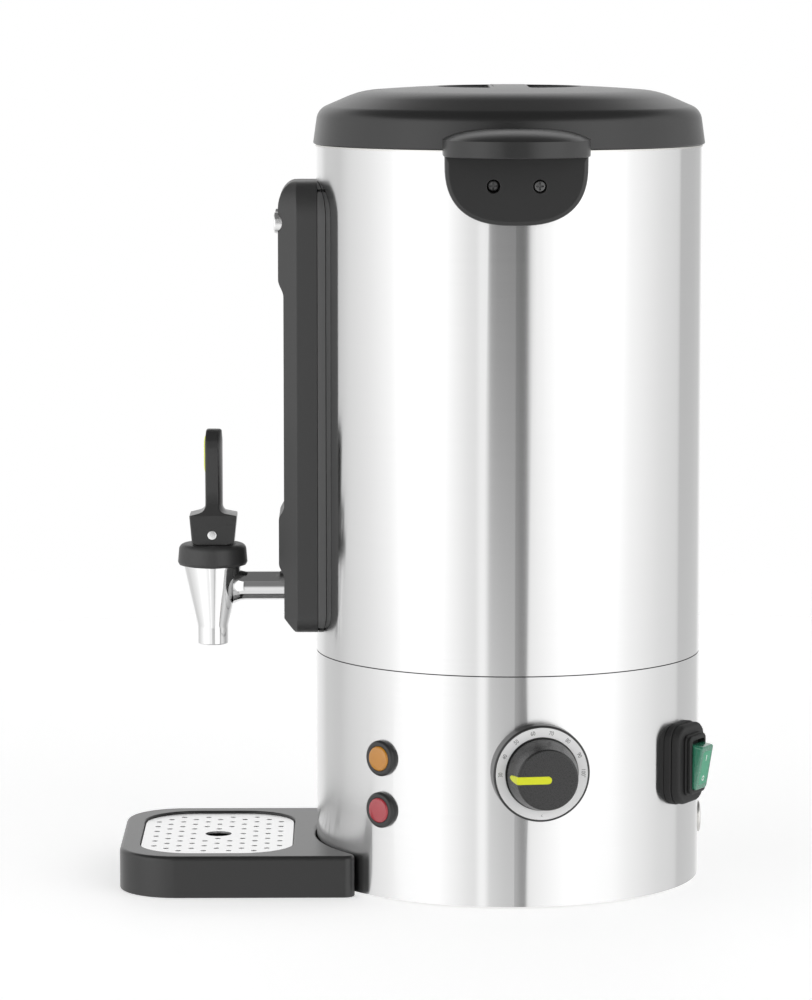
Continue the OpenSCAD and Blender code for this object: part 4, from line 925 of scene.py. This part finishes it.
tap_place = facing(TAP_SIDE, TAP_X)
piece(cut(cone, [pipe], operation="UNION"), "tap_casting", "urn", polished_steel,
      replaces=["tap_body"], place=tap_place)

# %% Tap bonnet
COLLAR_R = collar_high.x
COLLAR_FOOT, COLLAR_TOP = collar_low.z, collar_high.z
COLLAR_IN, COLLAR_WALL, STEM_HOLE_R = CONE_R - 1.8, 3.0, 3.4
collar = spun(rounded(
    [(COLLAR_IN, COLLAR_FOOT), (COLLAR_R - 0.8, COLLAR_FOOT, 0.3), (COLLAR_R, COLLAR_FOOT + 1.6, 0.8),
     (COLLAR_R - 0.9, COLLAR_TOP, 3.4), (STEM_HOLE_R, COLLAR_TOP, 0.4),
     (STEM_HOLE_R, COLLAR_TOP - COLLAR_WALL), (COLLAR_IN, COLLAR_TOP - COLLAR_WALL)], steps=6), turns=96)
piece(collar, "tap_bonnet", "urn", matt_abs, replaces=["tap_collar"], place=tap_place)

# %% [markdown]
# ## Lever
# The lever is lofted from level sections too: each level is a rectangle whose front and back
# follow the side view and whose width follows the front view. The back is crowned for the
# thumb, and the crown catches a bright line of light all the way up. The foot keeps the
# cam's curve, which rolls on the bonnet and lifts the stem.

# %% The lever's views
PIN_Z = COLLAR_TOP + 0.3 + 5.5
CAM_K, CAM_H = 8.0, 5.5
BLOCK_FRONT, BLOCK_BACK, BLOCK_TOP, BLOCK_HALF = 12.9, 14.2, 11.0, 11.5
PADDLE_FRONT, PADDLE_BACK, PADDLE_TOP, PADDLE_HALF = 3.8, 5.9, 59.7, 10.5
WAIST_Z, WAIST_HALF = 20.0, PADDLE_HALF - 2.5


def cam_line(last, steps=6):
    """The foot's rolling curve beside its flat, as (reach, height) about the pin."""
    line = []
    for k in range(steps + 1):
        t = math.radians(last * k / steps)
        h = CAM_H + CAM_K * t
        line.append((h * math.sin(t) + CAM_K * math.cos(t), CAM_K * math.sin(t) - h * math.cos(t)))
    return line


def lever_profile(last, side, block, paddle):
    """One side of the lever as (reach, height) from foot to top."""
    upper = [(side, -3), (block, BLOCK_TOP, 0.5), (paddle, BLOCK_TOP + 2.4, 4.6), (paddle, PADDLE_TOP - 6),
             (paddle - 0.5, PADDLE_TOP - 0.1, 1.4), (0, PADDLE_TOP)]
    return cam_line(last) + rounded(upper, closed=False, steps=7)[1:-1]


def reach_at(profile, z):
    """Reach of a profile at a height, by straight lines between its points."""
    for (x0, z0), (x1, z1) in zip(profile, profile[1:]):
        if z0 <= z <= z1:
            return x0 + (x1 - x0) * (z - z0) / max(z1 - z0, 1e-6)
    return profile[-1][0]


def half_width(z):
    """Half width of the lever, seen from the front, at a height above the pin."""
    centre = PADDLE_TOP - PADDLE_HALF
    if z > centre:
        return math.sqrt(max(PADDLE_HALF ** 2 - (z - centre) ** 2, 1.0))
    if z > WAIST_Z:
        return WAIST_HALF + (PADDLE_HALF - WAIST_HALF) * (z - WAIST_Z) / (centre - WAIST_Z)
    if z > BLOCK_TOP:
        return WAIST_HALF + (BLOCK_HALF - WAIST_HALF) * (WAIST_Z - z) / (WAIST_Z - BLOCK_TOP)
    return BLOCK_HALF


front_side = lever_profile(28, 11.6, BLOCK_FRONT, PADDLE_FRONT)
back_side = lever_profile(36, 12.7, BLOCK_BACK, PADDLE_BACK)
heights = sorted({round(z, 3) for _, z in front_side + back_side}
                 | {PADDLE_TOP - PADDLE_HALF * (1 - math.sin(a)) for a in quarter(10, high=84)}
                 | set(range(20, 50, 5)))
print("lever sections:", len(heights))

# %% Lever and inlay
LEVER_EDGE, BACK_CORNER = 0.9, 0.7
BACK_CROWN, BLOCK_CROWN = 2.4, 0.3
EYE_L, EYE_W = 16, 9.4
INLAY_W, INLAY_L, INLAY_Z = 11, 21.2, 45.1

loops = []
for z in heights:
    front, back, half = reach_at(front_side, z), reach_at(back_side, z), half_width(z)
    crown = BACK_CROWN if z > BLOCK_TOP + 0.4 else BLOCK_CROWN
    edge = min(LEVER_EDGE, half * 0.5)
    corners = [(crown - back, -half, BACK_CORNER), (front, -half, edge), (front, half, edge),
               (crown - back, half, BACK_CORNER)]
    corners += [(crown * (k / 4) ** 2 - back, half * -k / 4) for k in range(-3, 4)]
    loops.append(along_z(rounded(corners, steps=5), z))
eye_slot = bar(round_rect(EYE_L, EYE_W, 0.5, steps=2), along_z, -8, 5.4)
lever_place = facing(TAP_SIDE, TAP_X, PIN_Z)
piece(cut(loft(loops), [eye_slot]), "lever_moulding", "lever", lever_abs,
      replaces=["tap_lever"], place=lever_place)
inlay_line = round_rect(INLAY_W, INLAY_L, INLAY_W / 2 - 0.01, centre=(0, INLAY_Z))
inlay = loft(rising(inlay_line, PADDLE_FRONT, [(-1.4, 0), (0, 0), (0.35, -0.4), (0.65, -1.6), (0.85, -3.4)]))
piece(inlay, "lever_inlay", "lever", lime_abs, replaces=["lever_accent"], place=lever_place)

# %% Lever pin
PIN_R, PIN_HEAD_R, PIN_HEAD_H, PIN_HALF = 2.0, 2.6, 0.6, 11.5
pin_end = PIN_HALF + PIN_HEAD_H
pin = spun(rounded([(0, -pin_end), (PIN_HEAD_R, -pin_end, 0.35), (PIN_HEAD_R, -PIN_HALF), (PIN_R, -PIN_HALF),
                    (PIN_R, PIN_HALF), (PIN_HEAD_R, PIN_HALF), (PIN_HEAD_R, pin_end, 0.35), (0, pin_end)],
                   closed=False, steps=4), turns=40)
piece(pin, "lever_pin_turned", "lever", bright_steel, replaces=["lever_pin"],
      place=lever_place @ Matrix.Rotation(math.pi / 2, 4, "X"))

# %% [markdown]
# ## Dial
# The thermostat's dial has a black skirt on the wall and a pale ring let flush into its
# face. The scale runs from 30 to 100 over a half turn. The numbers are flat shapes a few
# hundredths of a millimetre above the ring, as printed ones are, and each one stands upright
# when its own side of the ring is on top.

# %% Dial skirt and ring
DIAL_ANGLE = 7.25
skirt_low, skirt_high = box_mm("dial_skirt")
DIAL_Z = (skirt_low.z + skirt_high.z) / 2
SKIRT_R = (skirt_high.z - skirt_low.z) / 2
SKIRT_X, SKIRT_BACK = body_r + 8, 105.2
RING_IN, RING_OUT, RING_GAP = 20.3, 25.5, 0.15
SHAFT_HOLE_R = 5.2
dial_place = facing(DIAL_ANGLE, 0, DIAL_Z)

skirt = turned_x([(SHAFT_HOLE_R, SKIRT_BACK), (SKIRT_R, SKIRT_BACK), (SKIRT_R, SKIRT_X, 1.1),
                  (RING_OUT + RING_GAP, SKIRT_X, 0.15), (RING_OUT + RING_GAP, SKIRT_X - 0.6),
                  (SHAFT_HOLE_R, SKIRT_X - 0.6)], turns=128)
piece(skirt, "dial_skirt_turned", "urn", black_nylon, replaces=["dial_skirt"],
      place=dial_place)
ring = turned_x([(RING_IN, SKIRT_X - 0.5), (RING_OUT, SKIRT_X - 0.5), (RING_OUT, SKIRT_X, 0.12),
                 (RING_IN, SKIRT_X, 0.12)], turns=128)
piece(ring, "dial_scale_ring", "urn", pale_ring, replaces=["scale_ring"], place=dial_place)

# %% Dial numbers
SCALE = ["30", "40", "50", "60", "70", "80", "90", "100°"]
NUMBER_SIZE, NUMBER_WIDTH, MARK_SIZE = 3.2, 0.85, 2.2
ONTO_X = Matrix(((0, 0, 1, 0), (1, 0, 0, 0), (0, 1, 0, 0), (0, 0, 0, 1)))    # paper on a wall that faces +X
PRINT_X = Matrix.Translation((SKIRT_X + 0.04, 0, 0))


def lettering(text, size, place):
    """Flat lettering as a bmesh. Its own X and Y lie on the face that it is put on."""
    curve = bpy.data.curves.new("lettering", "FONT")
    curve.body = text
    curve.size = size
    curve.align_x = "CENTER"
    curve.align_y = "CENTER"
    thing = bpy.data.objects.new("lettering", curve)
    bpy.context.collection.objects.link(thing)
    bpy.context.view_layer.update()
    mesh = bpy.data.meshes.new_from_object(thing.evaluated_get(bpy.context.evaluated_depsgraph_get()))
    bm = bmesh.new()
    bm.from_mesh(mesh)
    bpy.data.objects.remove(thing)
    bpy.data.curves.remove(curve)
    bpy.data.meshes.remove(mesh)
    return moved(bm, place)


number_r = (RING_IN + RING_OUT) / 2
narrow = Matrix.Diagonal((NUMBER_WIDTH, 1, 1, 1))
numbers = []
for k, text in enumerate(SCALE):
    turn = math.pi / 2 - math.pi * k / (len(SCALE) - 1)
    spot = Matrix.Rotation(turn, 4, "X") @ ONTO_X @ Matrix.Translation((0, number_r, 0))
    numbers.append(lettering(text, NUMBER_SIZE, PRINT_X @ spot @ narrow))
numbers.append(lettering("c", MARK_SIZE, PRINT_X @ ONTO_X @ Matrix.Translation((0, -number_r, 0))))
piece(joined(*numbers), "dial_numbers", "urn", scale_ink, place=dial_place)

# %% [markdown]
# ## Knob
# The knob has steep flanks that the fingers turn. Its lime pointer is the knob's own form,
# grown a little and trimmed to a strip, so that it bends down the flank.

# %% Knob and pointer
KNOB_X = SKIRT_X + 0.5
KNOB_R, FACE_R, KNOB_H, RIM_H = 19.5, 16.3, 19.0, 3.0
POINTER_HALF, POINTER_END, POINTER_RISE = 2.1, -18.9, 0.3


def knob_form(grow, edge):
    """The knob's outside, or a surface grown from it, along X."""
    return turned_x([(0, KNOB_X), (KNOB_R + grow, KNOB_X, 0.4), (KNOB_R + grow, KNOB_X + RIM_H, 0.8),
                     (FACE_R + 0.4 + grow, KNOB_X + KNOB_H + grow, edge), (0, KNOB_X + KNOB_H + grow)],
                    turns=128, closed=False, steps=6)


piece(knob_form(0, 1.3), "dial_knob_turned", "dial", knob_abs, replaces=["dial_knob"],
      place=dial_place)
strip_line = round_rect(POINTER_HALF - POINTER_END, 2 * POINTER_HALF, 2.05,
                        centre=((POINTER_HALF + POINTER_END) / 2, 0))
strip = bar(strip_line, along_x, KNOB_X + 2, KNOB_X + KNOB_H + 2)
pointer = cut(knob_form(POINTER_RISE, 1.6), [strip], operation="INTERSECT")
piece(pointer, "dial_pointer", "dial", lime_abs, replaces=["knob_pointer"], place=dial_place)

# %% [markdown]
# ## Signal lamps
# Two neon lamps with round bezels. The bezel is a low black ring with a soft outer edge,
# and the lens is a shallow dome of dyed acrylic.

# %% Lamps
LAMP_ANGLE = -41.5
LENS_R, BEZEL_R, BEZEL_TOP = 6.9, 10.0, body_r + 3.2
BEZEL_IN, BEZEL_FOOT = LENS_R + 0.1, body_r - 2.5
LENS_FOOT, LENS_DOME = BEZEL_TOP - 3, 1.2
bezel_line = [(BEZEL_IN, BEZEL_FOOT), (BEZEL_R, BEZEL_FOOT), (BEZEL_R, BEZEL_TOP - 1.2, 0.8),
              (BEZEL_R - 1.1, BEZEL_TOP, 0.9), (BEZEL_IN, BEZEL_TOP, 0.3)]
dome = [(LENS_R * math.cos(a), BEZEL_TOP + 0.3 + LENS_DOME * math.sin(a))
        for a in quarter(8, low=22, high=82)]
lens_line = [(0, LENS_FOOT), (LENS_R, LENS_FOOT), (LENS_R, BEZEL_TOP + 0.1, 0.5)]
lens_line += dome + [(0, BEZEL_TOP + 1.5)]

lamps = {name: facing(LAMP_ANGLE, 0, sum(corner.z for corner in box_mm(name)) / 2)
         for name in ("red_lens", "amber_lens")}
bezels = [moved(turned_x(bezel_line, turns=72), lamp_place) for lamp_place in lamps.values()]
piece(joined(*bezels), "lamp_bezel_rings", "urn", black_nylon, replaces=["lamp_bezels"])
for name, finish, slot in (("red_lens", red_acrylic, "red_plastic"),
                           ("amber_lens", amber_acrylic, "amber_plastic")):
    piece(turned_x(lens_line, turns=72, closed=False), f"{name}_dome", "urn", finish, replaces=[name],
          place=lamps[name])

# %% [markdown]
# ## Switch
# A splash-proof rocker switch: a rubber gasket on the wall, a flange with a full radius and
# a ribbed boot. Each is an outline that grows and shrinks as it rises from the wall, so the
# steps are written as pairs of height and growth.

# %% Gasket, flange and boot
SWITCH_ANGLE = 60.0
flange_low, flange_high = box_mm("switch_gasket")
SWITCH_Z = (flange_low.z + flange_high.z) / 2
GASKET = (34, 45.5, 10)
FLANGE = (33, 44.5, 9.5)
BOOT = (20.4, 33.2, 3.0)
POCKET = (16.6, 29, 2.4)
GASKET_STEPS = [(2.4, 0), (2.8, -0.4)]
FLANGE_STEPS = [(2.9, -0.5), (3.3, -0.1), (6.2, 0), (7.1, -0.3), (7.7, -0.9), (8, -1.8)]
BOOT_STEPS = [(6, 0), (8.2, 0.1), (8.9, 0.5), (9.5, 0.2), (9.9, -1.2), (10.4, -1.3), (10.8, -0.3),
              (11.4, -0.2), (11.9, -0.8), (12, -1.6)]
POCKET_STEPS = [(-3, -0.5), (20, -0.5)]
switch_place = facing(SWITCH_ANGLE, 0, SWITCH_Z)

gasket_line = round_rect(*GASKET)
gasket = loft([on_wall(gasket_line)] + rising(gasket_line, body_r, GASKET_STEPS))
piece(gasket, "switch_gasket_sheet", "urn", black_rubber, replaces=["switch_gasket"],
      place=switch_place)
flange = loft(rising(round_rect(*FLANGE), body_r, FLANGE_STEPS))
boot = loft(rising(round_rect(*BOOT), body_r, BOOT_STEPS))
pocket = loft(rising(round_rect(*POCKET), body_r, POCKET_STEPS))
piece(joined(flange, cut(boot, [pocket])), "switch_flange_and_boot", "urn", black_rubber,
      replaces=["switch_housing"], place=switch_place)

# %% [markdown]
# ## Rocker
# The rocker is a green cap with a brighter face let into its front. It stands tilted with its
# upper end out, which is off. The signs for on and off are printed a few hundredths of a
# millimetre above the face.

# %% Rocker
ROCKER_H, ROCKER_W, ROCKER_R, ROCKER_REACH = 25.4, 14.8, 1.8, 10.0
ROCKER_TILT = math.radians(10)
INK = 0.06
rocker_place = switch_place @ Matrix.Translation((body_r + 6, 0, 0)) @ Matrix.Rotation(ROCKER_TILT, 4, "Y")

cap = loft(rising(round_rect(ROCKER_W, ROCKER_H, ROCKER_R), ROCKER_REACH,
                  [(-11, -2.5), (-7, -0.2), (-0.9, 0), (-0.3, -0.25), (0, -0.9)]))
piece(cap, "switch_cap", "rocker", green_polycarbonate, replaces=["switch_rocker"],
      place=rocker_place)
face = bar(round_rect(ROCKER_W - 5.2, ROCKER_H - 6.4, 0.5), along_x, ROCKER_REACH - 0.5, ROCKER_REACH + 0.03)
piece(face, "switch_face", "rocker", bright_green, place=rocker_place)
stroke = bar(round_rect(0.7, 3.2, 0.1, centre=(0, 5.6)), along_x, ROCKER_REACH, ROCKER_REACH + INK)
hoop = turned_x([(r, ROCKER_REACH + x) for r, x in ((0.95, 0), (1.5, 0), (1.5, INK), (0.95, INK))], turns=32)
signs = joined(stroke, moved(hoop, Matrix.Translation((0, 0, -6.2))))
piece(signs, "switch_signs", "rocker", white_ink, place=rocker_place)

# %% [markdown]
# ## Drip tray
# The tray is a moulded tub with a rounded upper edge, a hollow back that fits round the
# body, and a step that carries the perforated plate. Its outline is a chain of arcs: two
# front corners, two small ends, and the hollow between them. The basin is cut out.

# %% Tray
tray_low, tray_high = box_mm("drip_tray")
TRAY_H = tray_high.z
TRAY_HALF = tray_high.x
TRAY_FRONT = tray_low.y
TRAY_CORNER, TRAY_END, TRAY_EDGE, TRAY_FOOT_EDGE = 33.0, 6.0, 2.5, 0.8
HUG_R = body_r + 0.6
HUG_LAP = 0.03        # radians by which the hollow starts past the ends, so that no point is double
GRILL_W, GRILL_D, GRILL_R = 124.0, 86.0, 29.0
GRILL_Y = TRAY_FRONT + 11.5 + GRILL_D / 2
SEAT_GAP, SEAT_RIM = 0.5, 0.9
LEDGE_Z = TRAY_H - 2.8
LEDGE_W, BASIN_EDGE, BASIN_FLOOR = 3.5, 3.0, 4.0


def tray_outline(inset):
    """The tray in plan, counter-clockwise, moved inwards by an inset."""
    half, corner = TRAY_HALF - inset, TRAY_CORNER - inset
    hug, end = HUG_R + inset, TRAY_END - min(inset, TRAY_END - 1)
    end_x = half - end
    end_y = -math.sqrt((hug + end) ** 2 - end_x ** 2)
    turn = math.atan2(-end_y, end_x)
    front = TRAY_FRONT + inset
    line = arc((corner - half, front + corner), corner, math.pi, 1.5 * math.pi, 12)
    line += arc((half - corner, front + corner), corner, 1.5 * math.pi, math.tau, 12)
    line += arc((end_x, end_y), end, 0, math.pi - turn, 8)
    line += arc((0, 0), hug, -turn - HUG_LAP, turn - math.pi + HUG_LAP, 24)
    line += arc((-end_x, end_y), end, turn, math.pi, 8)
    return line


def grill_outline(grow):
    """The grill's outline in plan, grown or shrunk."""
    return round_rect(GRILL_W + 2 * grow, GRILL_D + 2 * grow, GRILL_R + grow, centre=(0, GRILL_Y))


loops = [along_z(tray_outline(TRAY_FOOT_EDGE * (1 - math.sin(a))), TRAY_FOOT_EDGE * (1 - math.cos(a)))
         for a in quarter(2)]
loops += [along_z(tray_outline(TRAY_EDGE * (1 - math.cos(a))), TRAY_H - TRAY_EDGE * (1 - math.sin(a)))
          for a in quarter(5)]
basin_line = grill_outline(-LEDGE_W)
basin = loft(foot_edge(basin_line, along_z, BASIN_FLOOR, BASIN_EDGE, 4)
             + [along_z(basin_line, TRAY_H + CUT_PAST)])
seat = mouth(grill_outline(SEAT_GAP), along_z, LEDGE_Z, TRAY_H, SEAT_RIM)
piece(cut(loft(loops), [seat, basin]), "drip_tray_moulding", "tray", tray_abs,
      replaces=["drip_tray"])

# %% [markdown]
# ## Perforated plate
# The plate is flat sheet with an alternating pattern of punched holes and a finger hole in
# the middle to lift it by. All the punches are joined and cut in one go, as a press does.

# %% Perforated plate
HOLE_PITCH, HOLE_R, FINGER_R, HOLE_MARGIN = 7.1, 1.65, 7.5, 5.5
PLATE_BREAK = 0.25
grill_low, grill_high = box_mm("drip_grill")
plate_line = grill_outline(0)
plate = loft([along_z(plate_line, grill_low.z), along_z(plate_line, grill_high.z - PLATE_BREAK),
              along_z(grown(plate_line, -PLATE_BREAK), grill_high.z)])


def punch(radius, count, x, y):
    """A round punch through the plate, about the plate's middle."""
    return bar(circle(radius, count, (x, y + GRILL_Y)), along_z, grill_low.z - 1, grill_high.z + 1)


def over_corner(x, y):
    """Distance from the centre of the nearest corner's arc, or zero between the corners."""
    return math.hypot(max(abs(x) - GRILL_W / 2 + GRILL_R, 0), max(abs(y) - GRILL_D / 2 + GRILL_R, 0))


across = int((GRILL_W / 2 - HOLE_MARGIN) / HOLE_PITCH)
along = int((GRILL_D / 2 - HOLE_MARGIN) / HOLE_PITCH)
spots = [(i * HOLE_PITCH, j * HOLE_PITCH) for i in range(-across, across + 1)
         for j in range(-along, along + 1) if (i + j) % 2 == 0]
punches = [punch(FINGER_R, 40, 0, 0)]
punches += [punch(HOLE_R, 16, x, y) for x, y in spots
            if math.hypot(x, y) > FINGER_R + 2 * HOLE_R and over_corner(x, y) < GRILL_R - HOLE_MARGIN]
print("punched holes:", len(punches))
piece(cut(plate, [joined(*punches)]), "drip_grill_sheet", "grill", blasted_steel,
      replaces=["drip_grill"])

# %% [markdown]
# ## Cable entry
# The mains lead enters low on the side away from the tap, through a low steel bush with a
# soft rim. No lead is fitted.

# %% Bush
gland_low, gland_high = box_mm("cable_gland")
BUSH_IN, BUSH_R = 4.2, 9.0
bush = turned_x([(BUSH_IN, body_r - 4), (BUSH_R, body_r - 4), (BUSH_R, body_r - 0.6),
                 (BUSH_R, body_r + 1.2, 1.0), (6.5, body_r + 1.6, 1.0), (BUSH_IN, body_r + 0.6, 0.5)],
                turns=64)
piece(bush, "cable_grommet", "urn", satin_steel, replaces=["cable_gland"],
      place=facing(-TAP_SIDE, 0, (gland_low.z + gland_high.z) / 2))

# %% [markdown]
# ## Studio
# Shiny metal shows its surroundings, so lighting it means building those surroundings: a
# bright tent with a few brighter panels and darker gaps. A white world is the tent, and it
# is darker overhead, as a studio ceiling is, which gives the black mouldings their dark
# upper sides. The floor fades out far from the urn. Its paint has a small glow that only
# the camera sees, so that it meets the white background and still keeps the urn's shadow.

# %% World
ROOF_GLOW = 0.18               # glow overhead, where the sides have 1
ROOF_START, ROOF_FULL = 0.48, 0.62      # sine of the height at which the roof starts and is full
world = bpy.data.worlds.new("white tent")
bpy.context.scene.world = world
world.use_nodes = True
world.node_tree.nodes.clear()
heading = add(world.node_tree, "ShaderNodeTexCoord")
upwards = add(world.node_tree, "ShaderNodeSeparateXYZ", {"Vector": heading.outputs["Generated"]})
roof = add(world.node_tree, "ShaderNodeMapRange", {"Value": upwards.outputs["Z"], "From Min": ROOF_START,
                                                   "From Max": ROOF_FULL, "To Min": 1.0, "To Max": ROOF_GLOW})
glow = add(world.node_tree, "ShaderNodeBackground", {"Color": (1, 1, 1, 1),
                                                     "Strength": roof.outputs["Result"]})
add(world.node_tree, "ShaderNodeOutputWorld", {"Surface": glow.outputs["Background"]})
print("tent: 1 at the sides,", ROOF_GLOW, "overhead")

# %% Floor
FLOOR_R, WALL_R = 1.5, 2.5             # m
FLOOR_FADE = (350.0, 1400.0)           # mm from the axis, from full to gone
FLOOR_LIFT = 0.45                      # glow that only the camera sees
FLOOR_PAINT = (0.97, 0.97, 0.97, 1)    # linear: nearly as white as paint can be


def staged(bm, name, material):
    """A bmesh in metres as part of the studio."""
    mesh = bpy.data.meshes.new(name)
    bm.to_mesh(mesh)
    bm.free()
    mesh.materials.append(material)
    thing = bpy.data.objects.new(name, mesh)
    bpy.context.collection.objects.link(thing)
    return thing


floor_paint, tree, shader, place = new_material("pale studio floor", Base_Color=FLOOR_PAINT, Roughness=0.7,
                                                Emission_Color=(1, 1, 1, 1))
reach = add(tree, "ShaderNodeVectorMath", {0: place}, operation="LENGTH")
fade = add(tree, "ShaderNodeMapRange", {"Value": reach.outputs["Value"], "From Min": FLOOR_FADE[0],
                                        "From Max": FLOOR_FADE[1]}, interpolation_type="SMOOTHSTEP")
nothing = add(tree, "ShaderNodeBsdfTransparent")
seen = add(tree, "ShaderNodeLightPath")
lift = add(tree, "ShaderNodeMath", {0: seen.outputs["Is Camera Ray"], 1: FLOOR_LIFT}, operation="MULTIPLY")
tree.links.new(lift.outputs["Value"], shader.inputs["Emission Strength"])
blend = add(tree, "ShaderNodeMixShader", {0: fade.outputs["Result"], 1: shader.outputs["BSDF"],
                                          2: nothing.outputs["BSDF"]})
add(tree, "ShaderNodeOutputMaterial", {"Surface": blend.outputs["Shader"]}).is_active_output = True

bm = bmesh.new()
bmesh.ops.create_circle(bm, cap_ends=True, segments=96, radius=FLOOR_R)
floor = staged(bm, "pale floor", floor_paint)
floor.visible_glossy = False
print("floor fades from", FLOOR_FADE[0], "to", FLOOR_FADE[1], "mm")

# %% [markdown]
# ## Panels
# A tall ring of wall around the urn carries the panels: its glow changes with direction,
# and its pattern is what the steel shows as upright bands. A column of the wall that faces
# halfway between the camera and a panel mirrors that panel. The glow is set for the part of
# the ring above the floor and for the part below it, which stands for the light that a
# floor throws up. The ring is hidden from the camera, so every view keeps the plain white
# background and the pale floor.

# %% Panels
RING_FOOT, RING_H = -1.6, 3.5          # m
BLEND_TOP, BLEND_FOOT = 0.35, -0.6     # heights between which one glow turns into the other, m
PANEL_STRENGTH = 2.0
PANELS = [      # direction in degrees round the axis, glow above the floor, and below it
    (-180, 1.15, 1.05), (-149.3, 1.10, 1.00), (-140.3, 0.88, 0.86), (-120.3, 0.88, 0.86),
    (-109.3, 1.10, 0.98), (-91.3, 1.30, 1.12), (-75.3, 1.55, 1.30), (-65.3, 1.90, 1.50),
    (-44.3, 1.90, 1.60), (-32.3, 1.43, 1.40), (-25.3, 1.22, 1.25), (-20.3, 1.15, 1.18),
    (-18.7, 1.32, 1.45), (-14.9, 1.32, 1.50), (-12.4, 0.32, 1.20), (-8.2, 0.27, 1.14),
    (0.8, 0.22, 0.98), (5.3, 0.20, 0.80), (7, 0.16, 0.45), (9.2, 0.16, 0.45),
    (9.8, 1.28, 1.30), (16.8, 1.42, 1.40), (33.7, 1.90, 1.60), (61.7, 1.90, 1.50),
    (73.7, 1.50, 1.35), (98.7, 1.17, 1.10), (117.7, 1.00, 1.00), (119.3, 0.71, 0.84),
    (140.7, 0.68, 0.84), (152.7, 0.70, 0.84), (162.7, 1.10, 1.00), (180, 1.15, 1.05)]
panel_glow = bpy.data.materials.new("softbox panels")
panel_glow.use_nodes = True
tree = panel_glow.node_tree
tree.nodes.clear()
spot = add(tree, "ShaderNodeTexCoord")
split = add(tree, "ShaderNodeSeparateXYZ", {"Vector": spot.outputs["Object"]})
bearing = add(tree, "ShaderNodeMath", {0: split.outputs["Y"], 1: split.outputs["X"]}, operation="ARCTAN2")
share = add(tree, "ShaderNodeMapRange", {"Value": bearing.outputs["Value"], "From Min": -math.pi,
                                         "From Max": math.pi})
ramps = []
for column in (1, 2):
    ramp = add(tree, "ShaderNodeValToRGB", {"Fac": share.outputs["Result"]})
    stops = ramp.color_ramp.elements
    stops[1].position = 1.0
    glows = [panel[column] / PANEL_STRENGTH for panel in PANELS]
    for stop, glow in ((stops[0], glows[0]), (stops[1], glows[-1])):
        stop.color = (glow, glow, glow, 1)
    for panel, glow in zip(PANELS[1:-1], glows[1:-1]):
        stops.new((panel[0] + 180) / 360).color = (glow, glow, glow, 1)
    ramps.append(ramp.outputs["Color"])
height = add(tree, "ShaderNodeMapRange", {"Value": split.outputs["Z"], "From Min": BLEND_TOP,
                                          "From Max": BLEND_FOOT}, interpolation_type="SMOOTHSTEP")
mixed = add(tree, "ShaderNodeMix", {"Factor": height.outputs["Result"]}, data_type="RGBA")
tree.links.new(ramps[0], mixed.inputs["A"])
tree.links.new(ramps[1], mixed.inputs["B"])
light = add(tree, "ShaderNodeEmission", {"Color": mixed.outputs["Result"], "Strength": PANEL_STRENGTH})
add(tree, "ShaderNodeOutputMaterial", {"Surface": light.outputs["Emission"]})

bm = bmesh.new()
bmesh.ops.create_circle(bm, segments=96, radius=WALL_R)
bmesh.ops.translate(bm, vec=(0, 0, RING_FOOT), verts=bm.verts)
rise = bmesh.ops.extrude_edge_only(bm, edges=bm.edges)
top = [part for part in rise["geom"] if isinstance(part, bmesh.types.BMVert)]
bmesh.ops.translate(bm, vec=(0, 0, RING_H), verts=top)
panel_wall = staged(bm, "panel wall", panel_glow)
panel_wall.visible_camera = False
print("panel directions:", [panel[0] for panel in PANELS])

# %% [markdown]
# ## Camera
# A long lens from about 2.5 m flattens the perspective as a catalogue view does. The camera
# looks from the controls' side and slightly downwards. It stands 58 mm to the tap's side of
# the axis and looks straight ahead, so the urn stands a little right of the middle and
# leaves room for the tray.

# %% Camera
CAMERA_BEARING = math.radians(-0.75)
CAMERA_DISTANCE = 2.4635
CAMERA_SIDE = -0.058
CAMERA_HEIGHT = 0.504
CAMERA_TILT = math.radians(6.7)
LENS = 156.96

out = Vector((math.cos(CAMERA_BEARING), math.sin(CAMERA_BEARING), 0))
right = Vector((-math.sin(CAMERA_BEARING), math.cos(CAMERA_BEARING), 0))
camera = bpy.data.objects.new("camera", bpy.data.cameras.new("camera"))
bpy.context.collection.objects.link(camera)
camera.location = out * CAMERA_DISTANCE + right * CAMERA_SIDE + Vector((0, 0, CAMERA_HEIGHT))
look = -out * math.cos(CAMERA_TILT) - Vector((0, 0, math.sin(CAMERA_TILT)))
camera.rotation_euler = look.to_track_quat("-Z", "Y").to_euler()
camera.data.lens = LENS
camera.data.sensor_width = 36
camera.data.clip_end = 20
bpy.context.scene.camera = camera
bpy.context.scene.view_settings.view_transform = "Standard"
print("camera at", [round(v, 3) for v in camera.location])

# %% [markdown]
# ## Last step
# The last cell counts the pieces made. The dressed model fills the same box as the CAD
# model, except at the cable entry, where its bush stands out less.

# %% Count of pieces
print("pieces made:", len(pieces))
